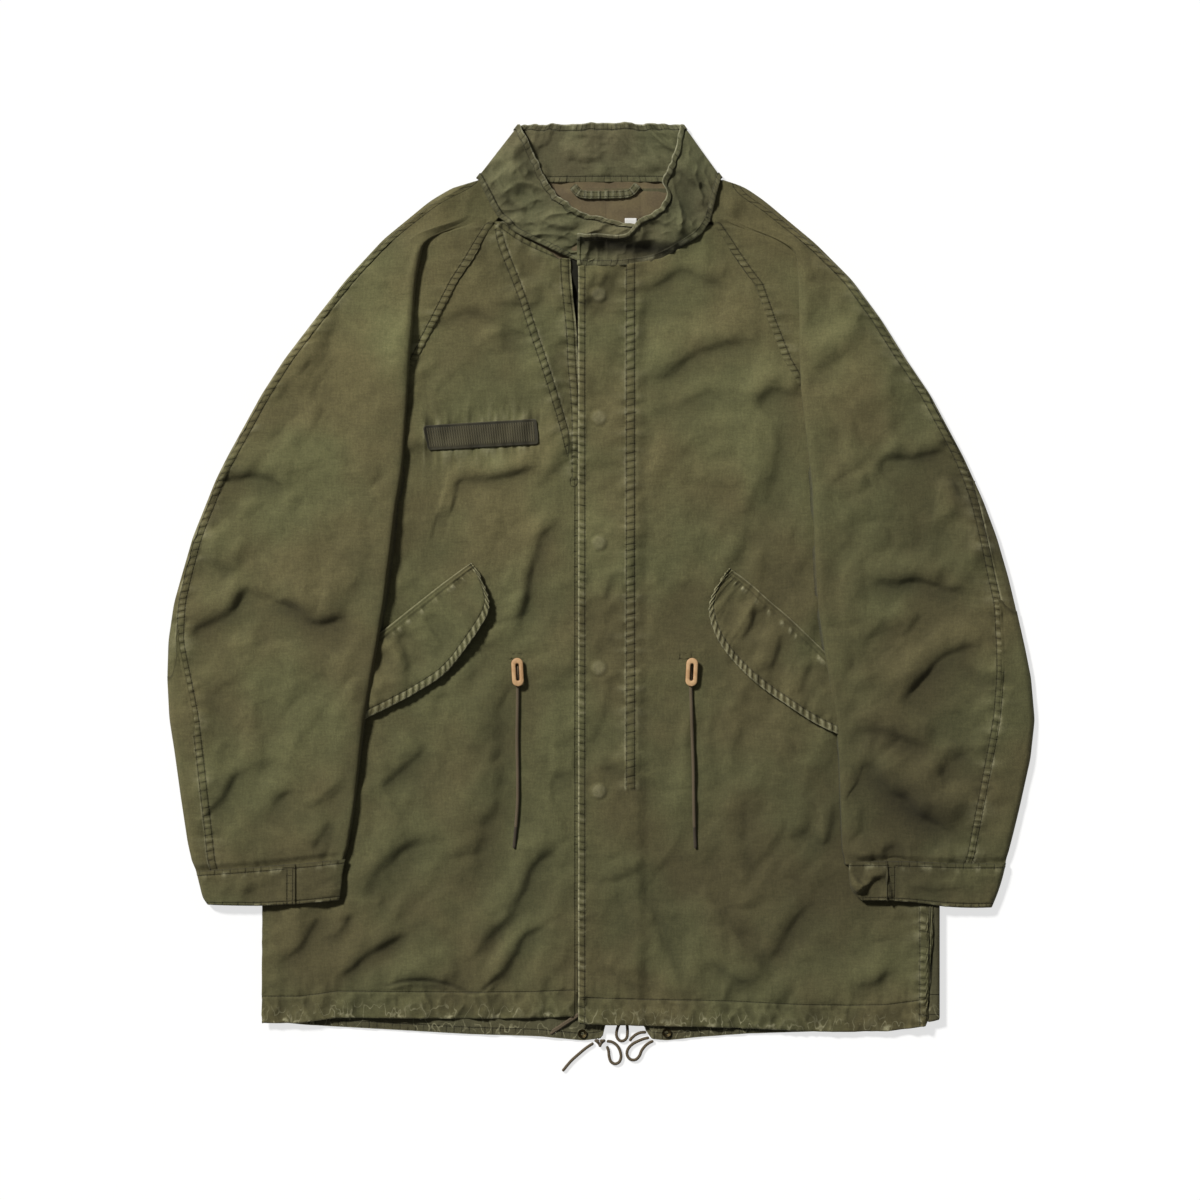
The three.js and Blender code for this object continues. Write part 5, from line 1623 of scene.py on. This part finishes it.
def neck_lining():
    x, y = np.meshgrid(np.linspace(-78, 84, 70), np.linspace(299, 387, 42))
    under = smoothstep(y, 372, 380)  # under the collar it lies lower
    loose = 0.5 * noise(x, y, 18, 261) + 0.35 * (0.4 - np.abs(noise(x, y, 11, 262)))
    seams = np.minimum(np.abs(x - 5), np.abs(x - 38))
    z = 2.5 - 1.0 * under + (loose - 0.4 * bell(seams, 1.6)) * (1 - under)
    piece = shell("cloth_neck_lining", np.stack([x, y, z], -1), 0.8, lining, {"seam": seams})
    stands_for(piece, ["neck_lining"], "lining_cloth", flat=(0.162, 0.088), held="laid",
               rests_on=["cloth_back_panel"])


def neck_label():
    """The bare label on the lining."""
    x, y = np.meshgrid(np.linspace(23, 34, 16), np.linspace(318, 349.5, 16))
    z = 3.9 + 0.25 * noise(x, y, 12, 265)
    piece = shell("bare_label", np.stack([x, y, z], -1), 0.4, label_cloth)
    stands_for(piece, ["neck_label"], "label_cloth", flat=(0.011, 0.032), held="laid",
               rests_on=["cloth_neck_lining"])


def hanger_loop():
    """A narrow strip of cloth along a curved line, gathered into small ridges."""
    half, step = 3.6, 1.2
    line = smooth_line([(-27, 380), (-21.5, 374), (-14, 372), (4, 372), (22, 372.6), (29, 374.5),
                        (35, 381)], step)
    way = unit(np.gradient(line, axis=0))
    across = np.stack([-way[:, 1], way[:, 0]], -1)
    v = np.linspace(-1, 1, 11)
    flat = line[:, None, :] + across[:, None, :] * v[None, :, None] * half
    x, y = flat[..., 0], flat[..., 1]
    run = np.broadcast_to(np.arange(len(line))[:, None] * step, x.shape)
    edge = np.broadcast_to((1 - np.abs(v)) * half, x.shape)
    ridges = np.sin(2 * math.pi * run / 6.5)
    z = 5.0 + 0.5 * (1 - v ** 2) + 0.3 * ridges + 0.3 * wave(run, 9, 266)
    values = looks(0.95, 0.5 * smoothstep(ridges, 0.3, 1), run, np.abs(edge - 1.2) + SEAM_HALF,
                   edge + 2)
    piece = shell("cloth_hanger_loop", np.stack([x, y, z], -1), 1.6, collar_cloth, values)
    stands_for(piece, ["hanger_loop"], "collar_cloth", flat=(0.0145, 0.073), held="laid",
               rests_on=["cloth_neck_lining"], area=0.0008)


def underlay_piece():
    """The flap of cloth below the fly."""
    x, y = np.meshgrid(np.linspace(-38, 26, 22), np.linspace(-404, 310, 130))
    z = 2.6 + 0.25 * noise(x, y, 40, 271) + 0.9 * smoothstep(y, 284, 295)
    # Painted shadow: near its top, in the gap below the fly's edge, it is painted almost black
    values = looks(lerp(0.8, 0.12, smoothstep(y, 205, 228)), 0.0, y, edge=x + 40)
    piece = shell("cloth_fly_underlay", np.stack([x, y, z], -1), 0.9, cloth_back, values)
    stands_for(piece, ["fly_underlay"], "twill_back", flat=(0.064, 0.7), held="laid",
               rests_on=["cloth_back_panel"])


# Back panel -------------------------------------------------------------------------------------
EYELETS = {"right": (-18.0, -433.0), "left": (63.0, -432.0)}
EYELET_LEVEL = 2.0


def rolled_edge(outline, y):
    """Columns by which the back's left edge wraps round the side and lies beside the front."""
    body = outline.span(y, 1)[1]
    shown = smoothstep(-y, 285, 305)
    columns = []
    for angle in np.linspace(0.25, 1, 7) * math.pi:
        risen = 1 - math.cos(angle)
        level = lerp(1.4 + 1.2 * risen, 1.2 + 3.5 * risen, shown)
        columns.append((lerp(body - 2.6, body - 0.2, np.sin(angle / 2)), y, level))
    for inward in (3.0, 6.0, 9.0):
        edge_x = body - 0.2 - inward * lerp(0.3, 1, shown)
        columns.append((edge_x, y, lerp(3.8, 8.1, shown)))
    return np.stack([np.stack(column, -1) for column in columns], 1)


def back_piece():
    """The back, face down below everything, with its tail."""
    outline = Outline("back_panel")
    reach = np.arange(-323, 318.5, 1.0)
    low, high = outline.span(reach, 0)
    columns = np.concatenate([np.arange(-323, -60, 5.0), np.arange(-60, 100, 1.7),
                              np.arange(100, 316, 5.0)])
    bottom = np.interp(columns, reach, softened(low, 2))
    top = np.interp(columns, reach, softened(high, 3))
    top = np.where(np.abs(columns) < 76, np.minimum(top, 378), top)
    share = np.unique(np.concatenate([np.linspace(0, 0.05, 24), np.linspace(0.05, 1, 90)]))
    x = np.broadcast_to(columns, (len(share), len(columns)))
    y = lerp(bottom, top, share[:, None])
    up = y - bottom

    # The channel of the tail's cord, gathered between its eyelets
    near_hole = bell(np.minimum(np.abs(x - 4), np.abs(x - 47)), 14)
    ribs = 0.5 + 0.5 * np.sin(2 * math.pi * (x + 1.5 * noise(x, y, 9, 283)) / 4.6)
    channel = 1 - smoothstep(up, 20, 26)
    z = 1.7 + 0.35 * np.abs(noise(x, y, 60, 281)) + 0.2 * noise(x, y, 24, 282)
    z = z + channel * (0.5 + 0.8 * gathers(x, up, 284, 30, 1, 9) + 1.4 * ribs * near_hole)
    z = np.maximum(z, 1.5) - 0.3 * smoothstep(y, 376, 384)
    wear_and_shade = 0.25 * smoothstep(noise(x, up * 0.3, 6, 285), 0.2, 0.8) - 0.2
    wear_and_shade = channel * (wear_and_shade + 0.6 * near_hole * smoothstep(ribs, 0.6, 1))

    grid = np.stack([x, y, z], -1)
    rolled = rolled_edge(outline, y[:, -1])
    grid = np.concatenate([grid, rolled], 1)
    values = looks(0.9 * tone_at(x, y), np.maximum(wear_and_shade, 0), x, edge=up + 0.5, hem=up)
    for key, value in values.items():
        if np.ndim(value):
            values[key] = np.pad(value, ((0, 0), (0, rolled.shape[1])), "edge")
    piece = shell("cloth_back_panel", grid, 1.2, cloth_back, values, up=(60, 60))
    stands_for(piece, ["back_panel"], "twill_back", flat=(0.66, 0.83), held="laid",
               rests_on=["floor"], area=0.47)


# Cords and hard pieces --------------------------------------------------------------------------
WAIST_CORD = 3.3
HEM_CORD = 3.0
TIED_CORD = 2.9  # where it is drawn tight: its knot and the strands below the front edge
WAIST_ROUTES = {
    "right": [(-80, -80), (-80, -92), (-80, -112), (-80.5, -149), (-80, -182), (-80, -209),
              (-81.5, -232), (-83.5, -255)],
    "left": [(86, -80), (86, -92), (86.5, -112), (87.5, -145), (88.5, -175), (89, -209),
             (89.5, -232), (90.5, -255)],
}
FLOOR_ROUTES = {
    "tail_cord_right_end": [(-7.2, -442), (-14, -446.5), (-20.5, -451.8), (-29, -459.5),
                            (-37, -469)],
    "tail_cord_right_loop": [(5.4, -440.2), (10.5, -441), (15, -444), (18, -449), (19.2, -455),
                             (17.6, -460), (13.6, -462), (9.6, -460), (7.8, -455), (7.2, -449.5),
                             (5.6, -445)],
    "tail_cord_left": [(50.4, -440), (46.6, -441.6), (42.6, -444.6), (39, -449.2), (36.8, -454.4),
                       (33, -458), (28, -457.6), (25, -453.2), (25.8, -448), (29.5, -443.6),
                       (35, -440.4), (41, -438), (46.2, -436.8)],
    "tail_cord_left_end": [(43.4, -431.6), (38, -432), (33, -434.2), (29, -437.8), (27.6, -440.2)],
    "hem_cord_loop": [(20.2, -414.9), (18.2, -422), (15.6, -428.5), (14.8, -434.5), (17, -439),
                      (21, -440), (24.6, -437), (25.4, -431), (25, -424), (24.6, -415.6)],
}


def braid_tube(name, line, diameter, tip=0.0, tone=1.0):
    """A round braid along a line of points; its last `tip` millimetres are bound and darker."""
    way = unit(np.gradient(line, axis=0))
    side = unit(np.cross(way, np.array([0, 0, 1.0])))
    rise = np.cross(side, way)
    run = run_length(*line.T)
    angle = np.linspace(0, 2 * math.pi, 18, endpoint=False)
    turn = 2 * math.pi * run[:, None] / (2.1 * diameter)
    strand = np.maximum(np.abs(np.sin(1.5 * (angle - turn))), np.abs(np.sin(1.5 * (angle + turn))))
    strand = 2 * strand - 1
    bound = smoothstep(run, run[-1] - tip - 1, run[-1] - tip)[:, None] if tip else 0
    radius = diameter / 2 * (0.95 + 0.055 * strand * (1 - bound) - 0.05 * bound)
    end = np.minimum(run, run[-1] - run)[:, None]
    radius = radius * np.sqrt(np.clip(0.25 + end / (0.45 * diameter), 0, 1))
    around = (np.cos(angle)[:, None] * side[:, None] + np.sin(angle)[:, None] * rise[:, None])
    ring = line[:, None] + radius[..., None] * around
    ids = np.arange(radius.size).reshape(radius.shape)
    faces = ring_faces(ids, close_rows=False).tolist() + [ids[0].tolist(), ids[-1][::-1].tolist()]
    values = {"strand": np.clip(0.5 + 0.5 * strand * (1 - bound), 0, 1).ravel(),
              "tone": (tone * (1 - 0.45 * bound) + 0 * strand).ravel()}
    piece = make_object(name, ring.reshape(-1, 3), faces, braid, values)
    return piece


def dense(points, step=0.7):
    """A smooth line through points in space, one every `step`."""
    line = smooth_line(points, step / 2)
    length = run_length(*line.T)
    even = np.linspace(0, length[-1], int(length[-1] / step) + 1)
    return np.stack([np.interp(even, length, values) for values in line.T], -1)


def free_cord(name, piece, line, diameter, **facts):
    """The piece stands for a cord that hangs free, whose CAD node is hidden. Its piece, line, diameter
    and facts are not used.
    """
    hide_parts(name)


def waist_cord(side, front):
    """A cord that hangs from its slit over the front; returns its line for the keeper."""
    flat = dense(WAIST_ROUTES[side])
    level = softened(front.surface(*flat.T), 8) + WAIST_CORD / 2 + 0.15
    line = np.column_stack([flat, level])
    name = f"waist_cord_{side}"
    piece = braid_tube(f"braid_{name}", line, WAIST_CORD, tip=20)
    free_cord(name, piece, line, WAIST_CORD, far_end="bare")
    return line


def tail_cords():
    """Ends and loops of the tail's cord and of the hem's, on the floor."""
    level = HEM_CORD / 2 + 0.1
    lines = {name: dense([(x, y, level) for x, y in route]) for name, route in FLOOR_ROUTES.items()}
    made = {name: braid_tube(f"braid_{name}", line, HEM_CORD) for name, line in lines.items()}
    end = made["tail_cord_left_end"]
    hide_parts("tail_cord_left_end")
    facts = {
        "tail_cord_right_end": {"far_end": "bare", "with_pieces": [knot_piece()]},
        "tail_cord_right_loop": {"far_end": "object"},
        "tail_cord_left": {"far_end": "object", "with_pieces": [end]},
        "hem_cord_loop": {"far_end": "object"},
    }
    for name, said in facts.items():
        free_cord(name, made[name], lines[name], HEM_CORD, **said)


def knot_piece():
    """An overhand knot: a cord wound twice round itself."""
    t = np.linspace(0, 2 * math.pi, 90)
    x = -1 + 3.1 * np.sin(t) + 1.5 * np.sin(2 * t)
    y = -441.3 + 2.3 * np.cos(t) - 0.9 * np.cos(2 * t)
    z = 2.9 + 1.0 * np.sin(3 * t)
    line = np.column_stack([x, y, z])[:-2]
    knot = braid_tube("braid_tail_knot", line, TIED_CORD, tone=0.9)
    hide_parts("tail_knot")
    return knot


def hem_drawcord():
    """Two strands of the drawcord, side by side below the front edge."""
    route = [(-21, -414.5), (-28, -419), (-35, -423.5), (-41, -427.5), (-48, -432)]
    for number, shift in ((1, 1.55), (2, -1.55)):
        line = dense([(x + 0.55 * shift, y + 0.83 * shift, 3.35) for x, y in route])
        braid_tube(f"braid_hem_drawcord_{number}", line, TIED_CORD)
    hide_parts("hem_drawcord")


def eyelet(side):
    """A brass ring, turned about a vertical axis from a closed profile of (radius, height)."""
    place_x, place_y = EYELETS[side]
    t = np.linspace(0, 2 * math.pi, 18, endpoint=False)[:, None]
    radius = 1.6 + 1.35 * (1 - np.cos(t))
    height = 0.25 + 1.05 * np.abs(np.sin(t / 2)) * (1.5 - 0.5 * np.cos(t))
    angle = np.linspace(0, 2 * math.pi, 48, endpoint=False)
    x, y = place_x + radius * np.cos(angle), place_y + radius * np.sin(angle)
    points = np.stack(np.broadcast_arrays(x, y, EYELET_LEVEL + height), -1)
    faces = ring_faces(np.arange(x.size).reshape(x.shape))[:, ::-1]
    piece = make_object(f"eyelet_{side}", points.reshape(-1, 3), faces.tolist(), brass)
    stands_for(piece, [f"tail_eyelet_{side}"], "brass")


KEEPER_Y = -86.0
# Centre X of each keeper and how far it is turned
KEEPERS = {"right": (-80.0, 0.05), "left": (87.0, -0.05)}
# Ovals round it, over its rim and top and down its slot: length, width and height
KEEPER_LOOPS = [
    (24.4, 8.4, 0.0), (26.4, 10.4, 0.15), (27.4, 11.4, 0.7), (27.5, 11.5, 1.2),
    (27.0, 11.0, 1.85), (25.6, 9.6, 2.2), (20.0, 6.4, 2.3), (18.0, 4.6, 2.2), (16.8, 3.4, 1.9),
    (16.2, 2.9, 1.3), (16.2, 2.9, 0.7), (17.0, 3.6, 0.1), (20.0, 6.2, 0.0),
]


def keeper(side, cord_line):
    """A long oval of natural leather with a slot, its edges rounded over."""
    centre_x, turn = KEEPERS[side]
    level = np.interp(-KEEPER_Y, -cord_line[:, 1], cord_line[:, 2]) + WAIST_CORD / 2 - 0.3
    angle = np.linspace(0, 2 * math.pi, 64, endpoint=False)
    length, width, height = (column[:, None] for column in np.array(KEEPER_LOOPS).T)
    x = width / 2 * np.cos(angle)
    y = width / 2 * np.sin(angle) + np.sign(np.sin(angle)) * (length - width) / 2
    points = np.stack([centre_x + x * math.cos(turn) - y * math.sin(turn),
                       KEEPER_Y + x * math.sin(turn) + y * math.cos(turn),
                       level + height + 0.02 * y], -1)
    faces = ring_faces(np.arange(x.size).reshape(x.shape))
    edge = np.broadcast_to(4.1 - np.abs(width - 7.4), x.shape)
    piece = make_object(f"leather_piece_{side}", points.reshape(-1, 3), faces.tolist(), leather,
                        {"edge": edge.ravel()})
    stands_for(piece, [f"leather_keeper_{side}"], "leather")


# Making the parka -------------------------------------------------------------------------------
fronts = {"right": Front("right", -324.6, -31.0), "left": Front("left", -20.6, 322.4)}
fronts["right"].piece(-SIDE, -18.5, flat=(0.33, 0.79), area=0.215)
fronts["left"].piece(FLY_EDGE, 320.5, flat=(0.36, 0.79), area=0.235)
for side, front in fronts.items():
    sleeve_piece(side, "front", front)
    elbow_patch(side, *sleeve_piece(side, "back", front))
    cuff_piece(side)
collar_piece()
for side, front in fronts.items():
    flap_piece(side, front)
tape_piece(fronts["right"])
neck_lining()
neck_label()
hanger_loop()
underlay_piece()
back_piece()
for side, front in fronts.items():
    keeper(side, waist_cord(side, front))
    eyelet(side)
tail_cords()
hem_drawcord()
for number in range(1, SNAP_COUNT + 1):
    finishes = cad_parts[f"snap_{number}"].data.materials
    finishes.clear()
    finishes.append(brass)
